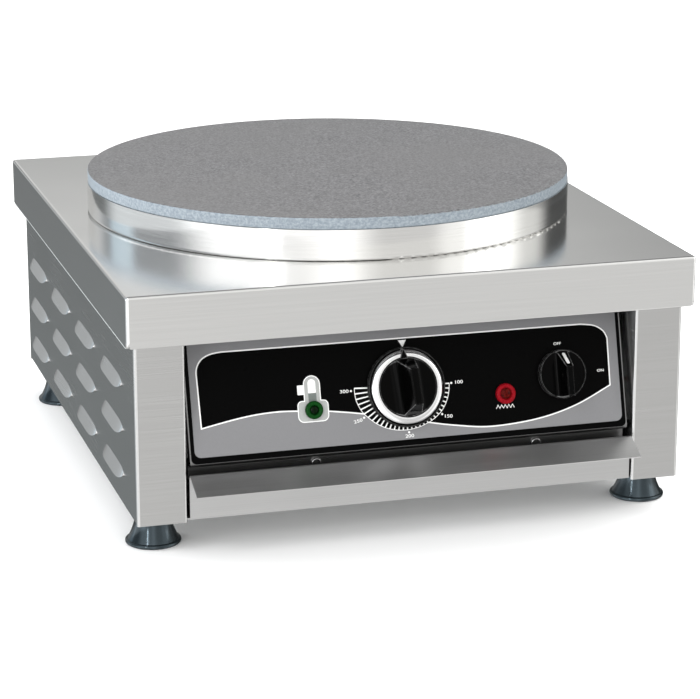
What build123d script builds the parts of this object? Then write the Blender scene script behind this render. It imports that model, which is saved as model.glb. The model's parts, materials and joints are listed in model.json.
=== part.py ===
from build123d import *
from math import asin, atan2, cos, degrees, radians, sin, tan
import os

# Electric crepe maker with one round cast plate, a folded stainless housing, an inclined
# control panel and a drip tray that slides out to the front.
# Millimetres. +X is the user's right, +Y the back, +Z up. Heights count from the worktop.
# The model is drawn about the plate's axis and moved to the centre of its footprint at the end.

# ---------------------------------------------------------------- housing sizes
SHEET = 1.2  # stainless sheet of the housing
BEND = 2.4  # outside radius of a folded edge
ASSEMBLY_GAP = 0.3  # room between housing pieces that only pass each other
FOOT_HEIGHT = 25.0
HOUSING_HEIGHT = 180.0
COVER_WIDTH = 450.0
COVER_DEPTH = 510.0
FRONT_OVERHANG = 9.0  # cover in front of the posts
REAR_OVERHANG = 22.5
SIDE_OVERHANG = 6.7
SKIRT_HEIGHT = 40.0
SKIRT_CORNER = 5.0  # rounding of the skirt's free corners
SKIRT_HEM = 7.0  # hem folded up inside the skirt
HEM_ROUND = 1.1
POST_WIDTH = 39.0
POST_RETURN = 30.0
TOP_FLANGE = 15.0
BOTTOM_FLANGE = 36.0
REAR_FLANGE = 20.0
BASE_INSET = 3.0  # base panel behind the front of the posts
BASE_UPSTAND = 18.0
BACK_PANEL_INSET = 1.0  # back panel below the cover, above the bottom edge and inside the side bends

# ---------------------------------------------------------------- cooking plate and heating
PLATE_DIAMETER = 400.0
PLATE_RIM = 9.5
PLATE_EDGE_RADIUS = 1.0
COLLAR_HEIGHT = 25.0
COLLAR_SHEET = 2.0
COLLAR_PROUD = 0.5  # collar's outside beyond the plate's rim
COLLAR_FOOT = 13.5  # collar's foot, measured from its outside
COLLAR_BEND = 2.6
SPIGOT_GAP = 1.7  # plate spigot inside the collar
SPIGOT_WIDTH = 8.8
RIB_DEPTH = 6.0
RIB_WIDTH = 5.0
TUBE_RADIUS = 4.0  # heating element tube
OUTER_LOOP_RADIUS = 155.0
INNER_LOOP_RADIUS = 90.0
LOOP_RIB_OFFSET = 15.5  # ribs on both sides of a heating loop
TUBE_BEND = 12.0
TERMINAL_PITCH = 28.0
TERMINAL_DROP = 18.0  # element leg below the heat shield
CERAMIC_RADIUS = 5.5
CERAMIC_LENGTH = 8.0
TERMINAL_RADIUS = 2.0
TERMINAL_LENGTH = 9.0
LINK_WIDTH = 9.0
LINK_SHEET = 1.0
LINK_DROP = 2.5  # link strips below the ceramic
ELEMENT_GAP = 0.3
CLAMP_RADIUS = 180.0
CLAMP_HOLE_RADIUS = 31.0
CLAMP_SHEET = 2.0
SHIELD_RADIUS = 184.0
SHIELD_SHEET = 1.0
SHIELD_WALL = 17.0
PAD_GAP = 2.0
LEG_HOLE_RADIUS = 10.5  # room for a loop's end where it turns down
STUD_CIRCLE = 122.0
STUD_RADIUS = 4.0
STUD_ENGAGEMENT = 5.0
STUD_CLEARANCE = 0.5
THREAD_GAP = 0.05
BOSS_RADIUS = 9.0
NUT_WIDTH = 13.0
NUT_HEIGHT = 6.5
BAR_WIDTH = 40.0
BAR_HEIGHT = 20.0
BAR_SHEET = 2.0
BAR_END_GAP = 7.0  # bridge bar short of the side panels' top flanges

# ---------------------------------------------------------------- studs that hold the cover
WELD_STUD_RADIUS = 3.0
WELD_STUD_LENGTH = 13.0
WELD_NUT_WIDTH = 10.0
WELD_NUT_HEIGHT = 5.0
WELD_STUD_CLEARANCE = 0.3
BAR_STUD_INSET = 10.0  # weld stud from the end of a bridge bar
SIDE_STUD_PITCH = 180.0
FASCIA_STUD_PITCH = 120.0

# ---------------------------------------------------------------- control panel
FASCIA_TILT = 15.7  # degrees from vertical
FASCIA_SETBACK = 2.0  # lower edge behind the front of the posts
FASCIA_BOTTOM = 66.4
FASCIA_SIDE_GAP = 3.3  # fascia between the posts
FASCIA_BEND = 3.6
FASCIA_RETURN = 10.0
FASCIA_LEG = 11.5
FASCIA_TOP_FLANGE = 14.0
FASCIA_SIDE_FLANGE = 7.0
DATUM_HEIGHT = 7.75  # printed panel's zero line, up the slope from the lower edge
OVERLAY_SHEET = 0.5
OVERLAY_MARGIN = 1.0
OVERLAY_LOW = -4.6
OVERLAY_HIGH = 100.0
OVERLAY_CORNER = 4.0
RAIL_HEIGHT = 16.0
RAIL_TAB = 16.0
RAIL_SCREW_X = (-75.6, 102.9)
RAIL_SCREW_DROP = 6.6  # rail screws below the fascia's return
KNOB_ROW = 40.5
LAMP_ROW = 28.8
THERMOSTAT_X = -3.3
SWITCH_X = 124.0
RED_LAMP_X = 76.9
GREEN_LAMP_X = -77.3
SHAFT_RADIUS = 3.0
SHAFT_FLAT = 1.2  # depth of the D flat
SHAFT_RUNNING_GAP = 0.05
SHAFT_DEPTH = 12.0  # shaft inside the control, behind the fascia
BUSH_RADIUS = 5.0
BUSH_LENGTH = 4.8  # bush in front of the fascia
BUSH_NUT_WIDTH = 14.0
BUSH_NUT_HEIGHT = 2.6
BUSH_NUT_ROOM = 8.4  # hole in the overlay round the nut
KNOB_ROOM = 9.5  # hollow under a knob round the nut
BUSH_ROOM = 0.6  # hollow beside the bush
KNOB_GAP = 1.0  # knob above the overlay
KNOB_BORE_DEPTH = 13.0
THERMOSTAT_BODY = (42.0, 40.0, 32.0)
SWITCH_BODY = (46.0, 46.0, 36.0)
BODY_BAND = 1.0  # band round a control's body, proud of it
BODY_BAND_WIDTH = 3.0
BODY_BAND_INSET = 7.0  # band from the rear face
BLADE_WIDTH = 6.3
BLADE_SHEET = 0.8
BLADE_LENGTH = 9.0

THERMOSTAT_SKIRT = 31.0
THERMOSTAT_SKIRT_HEIGHT = 3.4
TRIM_OUTER = 28.5
TRIM_INNER = 23.5
TRIM_RISE = 3.2
TRIM_SEAT = 0.1
TRIM_EDGE = 1.0  # height of the ring's outer wall
TRIM_LAND = 1.2  # flat on top of the ring
TRIM_BULGE = 0.5  # crown of the ring's face
KNOB_CHAMFER = 0.8
POINTER_HALF = (3.4, 0.7)  # half width of the wedge at its root and at its tip
POINTER_GAP = 0.15
POINTER_RISE = 0.6
POINTER_ROOT = 2.0  # pointer's inner end inside the ring
POINTER_TIP = 0.7  # pointer's tip beyond the ring
THERMOSTAT_GRIP = (6.5, 3.2, 22.8)  # half width over the foot, half width at the top, height
THERMOSTAT_GRIP_FOOT = 6.5  # radius of the hollow foot along both sides
THERMOSTAT_GRIP_END = (7.5, 9.0)  # run of the sloped end at the pointer and opposite
THERMOSTAT_REST_TURN = 4.2  # the knob rests a little past its mark, degrees
GRIP_ROUND = 0.28  # share of the grip's top half width

SWITCH_SKIRT = 19.3
SWITCH_SKIRT_HEIGHT = 4.4
SWITCH_GRIP = (4.2, 2.8, 16.5)
SWITCH_GRIP_FOOT = 2.8
SWITCH_GRIP_END = (12.0, 1.2)
MARKER_WIDTH = 2.4
MARKER_SHEET = 0.4
MARKER_INSET = 0.9  # marker from both ends of the grip's slope

LENS_RADIUS = 8.0
LENS_RING = 3.5  # width of the raised round ring
LENS_CROWN = 3.4  # top of the ring
LENS_BEAD = 3.0  # top of the bead in the middle
GREEN_LENS_RADIUS = 7.0
LAMP_BODY_RADIUS = 5.6
LAMP_BODY_LENGTH = 24.0
LAMP_STEM_GAP = 0.2
LAMP_NUT_WIDTH = 15.0
LAMP_NUT_HEIGHT = 4.0

# ---------------------------------------------------------------- thermostat bulb
BULB_RADIUS = 3.0
BULB_LENGTH = 54.0
BULB_INSET = 2.0  # bulb nearer the inner heating loop than the outer one
BULB_CLIP_PITCH = 36.0
BULB_CLIP_LENGTH = 10.0
BULB_CLIP_SHEET = 0.8
BULB_CLIP_GAP = 0.1
CAPILLARY_RADIUS = 1.1
CAPILLARY_BEND = 9.0
CAPILLARY_HOLE_RADIUS = 4.0
CAPILLARY_LEVEL = 172.0

# ---------------------------------------------------------------- louvres and slots
LOUVRE_RUN = 31.0  # straight part of a hood
LOUVRE_NOSE = 21.0  # run of the rounded nose at each end
LOUVRE_RISE = 4.3
LOUVRE_HEIGHT = 9.8
LOUVRE_NOSE_LEVEL = 5.0  # tip of the nose over the lip
LOUVRE_NOSE_FULLNESS = 2.4  # 2 gives an ellipse, more gives a blunter nose
LOUVRE_NOSE_STATIONS = (0, 0.45, 0.7, 0.87, 0.96, 0.99)  # shares of the nose's run
LOUVRE_SHUT = 0.87  # the opening ends at this station
LOUVRE_COLUMNS = 4
LOUVRE_ROWS = 3
LOUVRE_PITCH_Y = 109.0
LOUVRE_PITCH_Z = 36.2
LOUVRE_OFFSET_Y = 8.75  # middle of the louvres behind the middle of the wall
LOUVRE_CENTRE_Z = 87.5
SLOT_LENGTH = 40.0
SLOT_WIDTH = 5.0
BACK_SLOT_COLUMNS = 5
BACK_SLOT_ROWS = 4
BACK_SLOT_PITCH_X = 58.0
BACK_SLOT_PITCH_Z = 14.0
BACK_SLOT_CENTRE_Z = 130.0
BASE_SLOT_COLUMNS = 3
BASE_SLOT_ROWS = 2
BASE_SLOT_PITCH_X = 90.0
BASE_SLOT_PITCH_Y = 16.0
BASE_SLOT_INSET = 42.5  # middle of the base slots from the rear face

# ---------------------------------------------------------------- drip tray
TRAY_SHEET = 1.0
TRAY_FRONT_SIDE_GAP = 1.8  # front strip between the posts
TRAY_FRONT_BOTTOM = 27.0
TRAY_FRONT_TOP = 62.7
TRAY_LIP_REACH = 24.0
TRAY_LIP_DROP = 11.2
TRAY_LIP_BEND = 3.0
TRAY_SIDE_INSET = 9.5  # pan inside the front strip's ends
TRAY_REAR_ROOM = 83.5  # room behind the tray for the terminal strip and its wires
TRAY_WALL = 24.0
TRAY_HEM = 5.0
TRAY_CORNER = 6.0
TRAY_GAP = 0.4  # tray over and beside its runners
RUNNER_SHELF = 12.0
RUNNER_GUIDE = 16.0
RUNNER_STOP = 14.0

# ---------------------------------------------------------------- feet and rear fittings
FOOT_SIDE_INSET = 19.3  # feet from the outer faces of the housing
FOOT_FRONT_INSET = 35.0
FOOT_REAR_INSET = 56.5
FOOT_BASE_RADIUS = 21.6
FOOT_RIM = 3.6
FOOT_NECK_RADIUS = 13.5
FOOT_FLARE = 45.0  # radius of the concave flank
FOOT_RECESS_RADIUS = 8.5
FOOT_BOLT_RADIUS = 4.0
FOOT_BOLT_SEAT = 9.0
FOOT_BOLT_HEAD_WIDTH = 13.0
FOOT_BOLT_HEAD = 5.0
FOOT_BOLT_CLEARANCE = 0.4
SCREW_RADIUS = 2.0
SCREW_HEAD_RADIUS = 4.0
SCREW_HEAD_HEIGHT = 2.4
SCREW_HEAD_ROUND = 1.1
SCREW_LENGTH = 8.0
SCREW_CLEARANCE = 0.2
REAR_SCREW_ROWS = (52.0, 115.0, 178.0)
REAR_SCREW_X = 72.0  # screws into the base panel's upstand
RUNNER_SCREW_INSET = 59.0  # from both ends of the tray
REAR_FITTING_Z = 62.0  # cable gland and bonding stud
GLAND_INSET = 68.3  # cable gland from the side wall
GLAND_BORE = 5.5
GLAND_THREAD = 10.0
GLAND_HEX = 24.0
GLAND_HEX_HEIGHT = 5.0
GLAND_DOME_RADIUS = 11.5
GLAND_DOME_MOUTH = 8.2
GLAND_DOME_LENGTH = 16.5
GLAND_DOME_STRAIGHT = 10.0
GLAND_CAP_HEIGHT = 7.0
GLAND_TAIL = 8.0  # thread behind the back panel
BONDING_INSET = 38.3
BONDING_LENGTH = 16.0
BONDING_TAIL = 6.0
BONDING_CHAMFER = 0.6
BLOCK_OFFSET = 30.0  # middle of the terminal strip beside the gland
BLOCK_INSET = 42.5
BLOCK_SIZE = (70.0, 24.0, 22.0)
BLOCK_POLES = 5
BLOCK_STANDOFF = 6.0
BLOCK_SLIT_DEPTH = 8.8
BLOCK_WELL_DEPTH = 6.6
WIRE_RADIUS = 1.4
WIRE_BEND = 8.0
WIRE_END_GAP = 0.3  # wire short of its terminal
WIRE_LEAD = 14.0  # straight end of a wire at its terminal
HARNESS_INSET = 22.3  # wires along the right side, beside the tray
UPPER_RUN_Z = 150.0  # wires that cross above the tray
REAR_RUN_GAP = 15.0  # wires behind the tray

# ---------------------------------------------------------------- heights and places
BODY_BOTTOM = FOOT_HEIGHT
BODY_TOP = BODY_BOTTOM + HOUSING_HEIGHT
COVER_TOP = BODY_TOP + SHEET
SIDE = COVER_WIDTH / 2 - SIDE_OVERHANG
FRONT = FRONT_OVERHANG - COVER_DEPTH / 2
BACK = COVER_DEPTH / 2 - REAR_OVERHANG
POST_INNER = SIDE - POST_WIDTH
FASCIA_HALF_WIDTH = POST_INNER - FASCIA_SIDE_GAP
OVERLAY_HALF_WIDTH = FASCIA_HALF_WIDTH - OVERLAY_MARGIN
LOUVRE_CENTRE_Y = (FRONT + BACK) / 2 + LOUVRE_OFFSET_Y
BASE_SLOT_CENTRE_Y = BACK - BASE_SLOT_INSET
BASE_UNDERSIDE = BODY_BOTTOM + SHEET
BASE_TOP = BASE_UNDERSIDE + SHEET

PLATE_RADIUS = PLATE_DIAMETER / 2
PLATE_UNDERSIDE = COVER_TOP + COLLAR_HEIGHT
PLATE_TOP = PLATE_UNDERSIDE + PLATE_RIM
COLLAR_RADIUS = PLATE_RADIUS + COLLAR_PROUD
COVER_HOLE = COLLAR_RADIUS - COLLAR_FOOT
SPIGOT_OUTER = COLLAR_RADIUS - COLLAR_SHEET - SPIGOT_GAP
TUBE_LEVEL = PLATE_UNDERSIDE - ELEMENT_GAP - TUBE_RADIUS
CLAMP_TOP = TUBE_LEVEL - TUBE_RADIUS - ELEMENT_GAP
CLAMP_UNDERSIDE = CLAMP_TOP - CLAMP_SHEET
SHIELD_UNDERSIDE = BODY_TOP
SHIELD_FLOOR = SHIELD_UNDERSIDE + SHIELD_SHEET
TERMINAL_END = SHIELD_UNDERSIDE - TERMINAL_DROP
STUD_OFFSET = STUD_CIRCLE * sin(radians(45))
BAR_HALF_LENGTH = SIDE - TOP_FLANGE - BAR_END_GAP
STUD_PLACES = [(x, y) for x in (-STUD_OFFSET, STUD_OFFSET) for y in (-STUD_OFFSET, STUD_OFFSET)]
BULB_LEVEL = PLATE_UNDERSIDE - ELEMENT_GAP - BULB_RADIUS
BULB_ROW = BULB_INSET - (OUTER_LOOP_RADIUS + INNER_LOOP_RADIUS) / 2
CAPILLARY_X = BULB_LENGTH / 2 + CAPILLARY_BEND + CAPILLARY_HOLE_RADIUS

TILT = radians(FASCIA_TILT)
FASCIA_EDGE_Y = FRONT + FASCIA_SETBACK
FASCIA_TOP_Y = FASCIA_EDGE_Y + (BODY_TOP - FASCIA_BOTTOM) * tan(TILT)
FASCIA_LEG_Y = FASCIA_EDGE_Y + FASCIA_RETURN
FASCIA_STUD_Y = FASCIA_TOP_Y + FASCIA_TOP_FLANGE / 2 + FASCIA_BEND / 2
RAIL_FRONT = FASCIA_LEG_Y + SHEET
RAIL_BOTTOM = FASCIA_BOTTOM - FASCIA_LEG
PANEL = Plane(
    origin=(
        0,
        FASCIA_EDGE_Y + DATUM_HEIGHT * sin(TILT),
        FASCIA_BOTTOM + DATUM_HEIGHT * cos(TILT),
    ),
    x_dir=(1, 0, 0),
    z_dir=(0, -cos(TILT), sin(TILT)),
)
KNOB_BASE = OVERLAY_SHEET + KNOB_GAP  # underside of a knob, over the fascia's face

RUNNER_TOP = BASE_TOP + SHEET
TRAY_UNDERSIDE = RUNNER_TOP + TRAY_GAP
TRAY_FRONT_HALF_WIDTH = POST_INNER - TRAY_FRONT_SIDE_GAP
TRAY_HALF_WIDTH = TRAY_FRONT_HALF_WIDTH - TRAY_SIDE_INSET
TRAY_REAR = BACK - TRAY_REAR_ROOM
GLAND_X = SIDE - GLAND_INSET
BONDING_X = BONDING_INSET - SIDE
BLOCK_X = GLAND_X - BLOCK_OFFSET
BLOCK_Y = BACK - BLOCK_INSET
HARNESS_X = SIDE - HARNESS_INSET
REAR_RUN_Y = TRAY_REAR + REAR_RUN_GAP
FOOT_X = SIDE - FOOT_SIDE_INSET
FOOT_FRONT_Y = FRONT + FOOT_FRONT_INSET
FOOT_REAR_Y = BACK - FOOT_REAR_INSET
FEET = {
    "front_left_foot": (-FOOT_X, FOOT_FRONT_Y),
    "front_right_foot": (FOOT_X, FOOT_FRONT_Y),
    "rear_left_foot": (-FOOT_X, FOOT_REAR_Y),
    "rear_right_foot": (FOOT_X, FOOT_REAR_Y),
}


# ---------------------------------------------------------------- helpers
def folded(points, thickness, side, radius):
    """Cross-section of a folded sheet: the outer line, rounded at each bend, thickened to one side."""
    line = FilletPolyline(*points, radius=radius)
    return make_face(offset(line, amount=thickness, side=side))


def along_x(sketch, x_low, x_high):
    """Extrudes a section drawn in Y and Z."""
    return extrude(Plane.YZ.offset(x_low) * sketch, amount=x_high - x_low)


def along_y(sketch, y_low, y_high):
    """Extrudes a section drawn in X and Z."""
    return extrude(Plane.XZ.offset(-y_high) * sketch, amount=y_high - y_low)


def along_z(sketch, z_low, z_high):
    """Extrudes a section drawn in X and Y."""
    return extrude(Plane.XY.offset(z_low) * sketch, amount=z_high - z_low)


def block(x_low, x_high, y_low, y_high, z_low, z_high):
    """Box between its limits."""
    size = (x_high - x_low, y_high - y_low, z_high - z_low)
    return Pos(x_low, y_low, z_low) * Box(*size, align=(Align.MIN, Align.MIN, Align.MIN))


def post(x, y, radius, z_low, z_high):
    """Vertical cylinder."""
    return Pos(x, y, z_low) * Cylinder(radius, z_high - z_low, align=(Align.CENTER, Align.CENTER, Align.MIN))


def annulus(outer, inner, z_low, z_high):
    """Flat ring about the plate's axis."""
    return along_z(Circle(outer) - Circle(inner), z_low, z_high)


def hex_nut(width, bore, height):
    """Hexagon nut or bolt head on the XY plane, growing upwards; width is across the flats."""
    outline = RegularPolygon(radius=width / 2, side_count=6, major_radius=False)
    if bore:
        outline -= Circle(bore)
    return extrude(outline, amount=height)


def disc_on(plane, x, y, radius, low, high):
    """Cylinder that stands on a plane."""
    return plane.offset(low) * Pos(x, y, 0) * extrude(Circle(radius), amount=high - low)


def pan_screw(length):
    """Pan head screw: the head's underside lies on the XY plane, the shank points down."""
    head = Pos(0, 0, SCREW_HEAD_HEIGHT / 2) * Cylinder(SCREW_HEAD_RADIUS, SCREW_HEAD_HEIGHT)
    head = fillet(head.edges().group_by(Axis.Z)[-1], SCREW_HEAD_ROUND)
    shank = Cylinder(SCREW_RADIUS, length, align=(Align.CENTER, Align.CENTER, Align.MAX))
    return head + shank


def group(shapes):
    """Separate solids kept together in one node."""
    return Compound([solid for shape in shapes for solid in shape.solids()])


# ---------------------------------------------------------------- cover and collar
def weld_stud_places():
    """Place of each weld stud under the cover, with the thickness that it clamps."""
    bar_x = BAR_HALF_LENGTH - BAR_STUD_INSET
    flange_x = SIDE - TOP_FLANGE / 2 - SHEET / 2
    places = [(x, y, BAR_SHEET) for x in (-bar_x, bar_x) for y in (-STUD_OFFSET, STUD_OFFSET)]
    places += [(x, row * SIDE_STUD_PITCH, SHEET) for x in (-flange_x, flange_x) for row in (-1, 0, 1)]
    places += [(row * FASCIA_STUD_PITCH, FASCIA_STUD_Y, SHEET) for row in (-1, 0, 1)]
    return places


def weld_stud_holes(part):
    """Clearance holes for the weld studs."""
    radius = WELD_STUD_RADIUS + WELD_STUD_CLEARANCE
    for x, y, _ in weld_stud_places():
        part -= post(x, y, radius, BODY_TOP - WELD_STUD_LENGTH, BODY_TOP)
    return part


def top_cover():
    """Folded sheet with a hemmed skirt all round and a round opening under the plate."""
    half_x = COVER_WIDTH / 2
    half_y = COVER_DEPTH / 2
    bottom = COVER_TOP - SKIRT_HEIGHT
    outer = block(-half_x, half_x, -half_y, half_y, bottom, COVER_TOP)
    outer = fillet(outer.edges().filter_by(Axis.Z) + outer.faces().sort_by(Axis.Z)[-1].edges(), BEND)
    outer = fillet(outer.faces().sort_by(Axis.Z)[0].edges(), HEM_ROUND)
    inner = block(
        SHEET - half_x, half_x - SHEET, SHEET - half_y, half_y - SHEET, bottom + SKIRT_HEM, BODY_TOP
    )
    inner = fillet(inner.edges().filter_by(Axis.Z) + inner.faces().sort_by(Axis.Z)[-1].edges(), BEND - SHEET)
    hem_x = half_x - 2 * SHEET
    hem_y = half_y - 2 * SHEET
    cover = outer - inner - block(-hem_x, hem_x, -hem_y, hem_y, bottom - SHEET, bottom + SKIRT_HEM)
    cover -= post(0, 0, COVER_HOLE, BODY_TOP - SHEET, COVER_TOP + SHEET)
    corner = Rectangle(2 * SKIRT_CORNER, 2 * SKIRT_CORNER) - Circle(SKIRT_CORNER)
    for side in (-1, 1):
        for end in (-1, 1):
            cut_x = Pos(side * (half_x - SKIRT_CORNER), bottom + SKIRT_CORNER) * corner
            cut_x &= Pos(side * half_x, bottom) * Rectangle(2 * SKIRT_CORNER, 2 * SKIRT_CORNER)
            face_y = end * (half_y - BEND / 2)
            cover -= along_y(cut_x, face_y - BEND / 2, face_y + BEND / 2)
            cut_y = Pos(end * (half_y - SKIRT_CORNER), bottom + SKIRT_CORNER) * corner
            cut_y &= Pos(end * half_y, bottom) * Rectangle(2 * SKIRT_CORNER, 2 * SKIRT_CORNER)
            face_x = side * (half_x - BEND / 2)
            cover -= along_x(cut_y, face_x - BEND / 2, face_x + BEND / 2)
    return cover


def collar_ring():
    """Rolled band that stands on the cover and carries the plate on its upper edge."""
    line = [
        (COVER_HOLE, COVER_TOP),
        (COLLAR_RADIUS, COVER_TOP),
        (COLLAR_RADIUS, PLATE_UNDERSIDE),
    ]
    section = folded(line, COLLAR_SHEET, Side.LEFT, COLLAR_BEND)
    return revolve(Plane.XZ * section, axis=Axis.Z)


def weld_studs():
    """Threaded studs welded under the cover."""
    low = BODY_TOP - WELD_STUD_LENGTH
    return group([post(x, y, WELD_STUD_RADIUS, low, BODY_TOP) for x, y, _ in weld_stud_places()])


def weld_stud_nuts():
    """Nuts that draw the cover down on the side panels, the fascia and the bridge bars."""
    nut = hex_nut(WELD_NUT_WIDTH, WELD_STUD_RADIUS + THREAD_GAP, WELD_NUT_HEIGHT)
    nuts = [Pos(x, y, BODY_TOP - grip - WELD_NUT_HEIGHT) * nut for x, y, grip in weld_stud_places()]
    return group(nuts)


# ---------------------------------------------------------------- plate and heating
def cooking_plate():
    """Cast plate, turned flat on top, with ribs beside the heating loops and bosses for the studs."""
    disc = post(0, 0, PLATE_RADIUS, PLATE_UNDERSIDE, PLATE_TOP)
    disc = fillet(disc.edges(), PLATE_EDGE_RADIUS)
    rib_bottom = PLATE_UNDERSIDE - RIB_DEPTH
    disc += annulus(SPIGOT_OUTER, SPIGOT_OUTER - SPIGOT_WIDTH, rib_bottom, PLATE_UNDERSIDE)
    for loop in (OUTER_LOOP_RADIUS, INNER_LOOP_RADIUS):
        for side in (-1, 1):
            middle = loop + side * LOOP_RIB_OFFSET
            disc += annulus(middle + RIB_WIDTH / 2, middle - RIB_WIDTH / 2, rib_bottom, PLATE_UNDERSIDE)
    for x, y in STUD_PLACES:
        disc += post(x, y, BOSS_RADIUS, CLAMP_TOP, PLATE_UNDERSIDE)
        disc -= post(x, y, STUD_RADIUS + THREAD_GAP, CLAMP_TOP, PLATE_UNDERSIDE + STUD_ENGAGEMENT)
    return disc


def heating_element(loop):
    """Tubular element: one open loop whose two ends turn down through the heat shield."""
    end_y = TERMINAL_PITCH / 2 + TUBE_BEND
    angle = degrees(asin(end_y / loop))
    loop_line = CenterArc((0, 0, TUBE_LEVEL), loop, angle, 360 - 2 * angle)
    tube = sweep(Plane(loop_line @ 0, z_dir=loop_line % 0) * Circle(TUBE_RADIUS), path=loop_line)
    leg_end = TERMINAL_END + CERAMIC_LENGTH
    for place, away in ((0, -(loop_line % 0)), (1, loop_line % 1)):
        start = loop_line @ place
        downwards = Plane(start, x_dir=away, z_dir=away.cross(Vector(0, 0, -1)))
        bend = downwards * JernArc((0, 0), (1, 0), TUBE_BEND, 90)
        tube += sweep(Plane(start, z_dir=away) * Circle(TUBE_RADIUS), path=bend)
        leg = bend @ 1
        tube += post(leg.X, leg.Y, TUBE_RADIUS, leg_end, leg.Z)
        tube += post(leg.X, leg.Y, CERAMIC_RADIUS, TERMINAL_END, leg_end)
        tube += post(leg.X, leg.Y, TERMINAL_RADIUS, TERMINAL_END - TERMINAL_LENGTH, TERMINAL_END)
    return tube


def element_links():
    """Two strips that join the loops' terminals in parallel."""
    places = terminal_places()
    top = TERMINAL_END - LINK_DROP
    links = []
    for outer, inner in ((places[0], places[2]), (places[1], places[3])):
        middle = Pos((outer[0] + inner[0]) / 2, (outer[1] + inner[1]) / 2)
        run = Vector(outer[0] - inner[0], outer[1] - inner[1])
        strip = middle * Rot(0, 0, degrees(atan2(run.Y, run.X))) * SlotCenterToCenter(run.length, LINK_WIDTH)
        for x, y in (outer, inner):
            strip -= Pos(x, y) * Circle(TERMINAL_RADIUS + THREAD_GAP)
        links.append(along_z(strip, top - LINK_SHEET, top))
    return group(links)


def terminal_places():
    """Place of each element leg, seen from above."""
    places = []
    for loop in (OUTER_LOOP_RADIUS, INNER_LOOP_RADIUS):
        angle = asin((TERMINAL_PITCH / 2 + TUBE_BEND) / loop)
        x = loop * cos(angle) + TUBE_BEND * sin(angle)
        y = loop * sin(angle) - TUBE_BEND * cos(angle)
        places += [(x, y), (x, -y)]
    return places


def pierce(part, low, high, stud_hole, leg_hole):
    """Holes for the plate studs, the element legs and the thermostat's capillary."""
    for x, y in STUD_PLACES:
        part -= post(x, y, stud_hole, low, high)
    for x, y in terminal_places():
        part -= post(x, y, leg_hole, low, high)
    part -= post(CAPILLARY_X, BULB_ROW, CAPILLARY_HOLE_RADIUS, low, high)
    return part


def element_clamp_plate():
    """Steel disc that holds the heating loops against the plate."""
    disc = annulus(CLAMP_RADIUS, CLAMP_HOLE_RADIUS, CLAMP_UNDERSIDE, CLAMP_TOP)
    return pierce(disc, CLAMP_UNDERSIDE, CLAMP_TOP, STUD_RADIUS + STUD_CLEARANCE, LEG_HOLE_RADIUS)


def insulation_pad():
    """Mineral fibre disc between the clamp plate and the heat shield."""
    radius = SHIELD_RADIUS - SHIELD_SHEET - PAD_GAP
    disc = post(0, 0, radius, SHIELD_FLOOR, CLAMP_UNDERSIDE)
    nut_room = NUT_WIDTH / 2 + PAD_GAP
    return pierce(disc, SHIELD_FLOOR, CLAMP_UNDERSIDE, nut_room, LEG_HOLE_RADIUS)


def heat_shield():
    """Shallow pan that holds the insulation up and shields the space below."""
    line = [
        (0, SHIELD_UNDERSIDE),
        (SHIELD_RADIUS, SHIELD_UNDERSIDE),
        (SHIELD_RADIUS, SHIELD_UNDERSIDE + SHIELD_WALL),
    ]
    section = folded(line, SHIELD_SHEET, Side.LEFT, BEND)
    pan = revolve(Plane.XZ * section, axis=Axis.Z)
    leg_hole = CERAMIC_RADIUS + STUD_CLEARANCE
    return pierce(pan, SHIELD_UNDERSIDE, SHIELD_FLOOR, STUD_RADIUS + STUD_CLEARANCE, leg_hole)


def bridge_bar(y):
    """Channel below the heat shield; the plate studs pull against it."""
    line = [
        (y - BAR_WIDTH / 2, BODY_TOP - BAR_HEIGHT),
        (y - BAR_WIDTH / 2, BODY_TOP),
        (y + BAR_WIDTH / 2, BODY_TOP),
        (y + BAR_WIDTH / 2, BODY_TOP - BAR_HEIGHT),
    ]
    bar = along_x(folded(line, BAR_SHEET, Side.RIGHT, BEND), -BAR_HALF_LENGTH, BAR_HALF_LENGTH)
    for x in (-STUD_OFFSET, STUD_OFFSET):
        bar -= post(x, y, STUD_RADIUS + STUD_CLEARANCE, BODY_TOP - BAR_SHEET, BODY_TOP)
    return weld_stud_holes(bar)


def plate_studs():
    """Long studs from the plate's bosses down through the bridge bars."""
    low = BODY_TOP - BAR_HEIGHT
    high = PLATE_UNDERSIDE + STUD_ENGAGEMENT
    return group([post(x, y, STUD_RADIUS, low, high) for x, y in STUD_PLACES])


def plate_nuts():
    """A nut under the clamp plate and one under the bridge bar on each plate stud."""
    nut = hex_nut(NUT_WIDTH, STUD_RADIUS + THREAD_GAP, NUT_HEIGHT)
    levels = (CLAMP_UNDERSIDE - NUT_HEIGHT, BODY_TOP - BAR_SHEET - NUT_HEIGHT)
    return group([Pos(x, y, level) * nut for x, y in STUD_PLACES for level in levels])


# ---------------------------------------------------------------- housing panels
def louvre_places():
    """Middle of the lower lip of each louvre, as Y and Z."""
    places = []
    for column in range(LOUVRE_COLUMNS):
        for row in range(LOUVRE_ROWS):
            y = LOUVRE_CENTRE_Y + (column - (LOUVRE_COLUMNS - 1) / 2) * LOUVRE_PITCH_Y
            z = LOUVRE_CENTRE_Z + (row - (LOUVRE_ROWS - 1) / 2) * LOUVRE_PITCH_Z
            places.append((y, z - LOUVRE_HEIGHT / 2))
    return places


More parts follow.
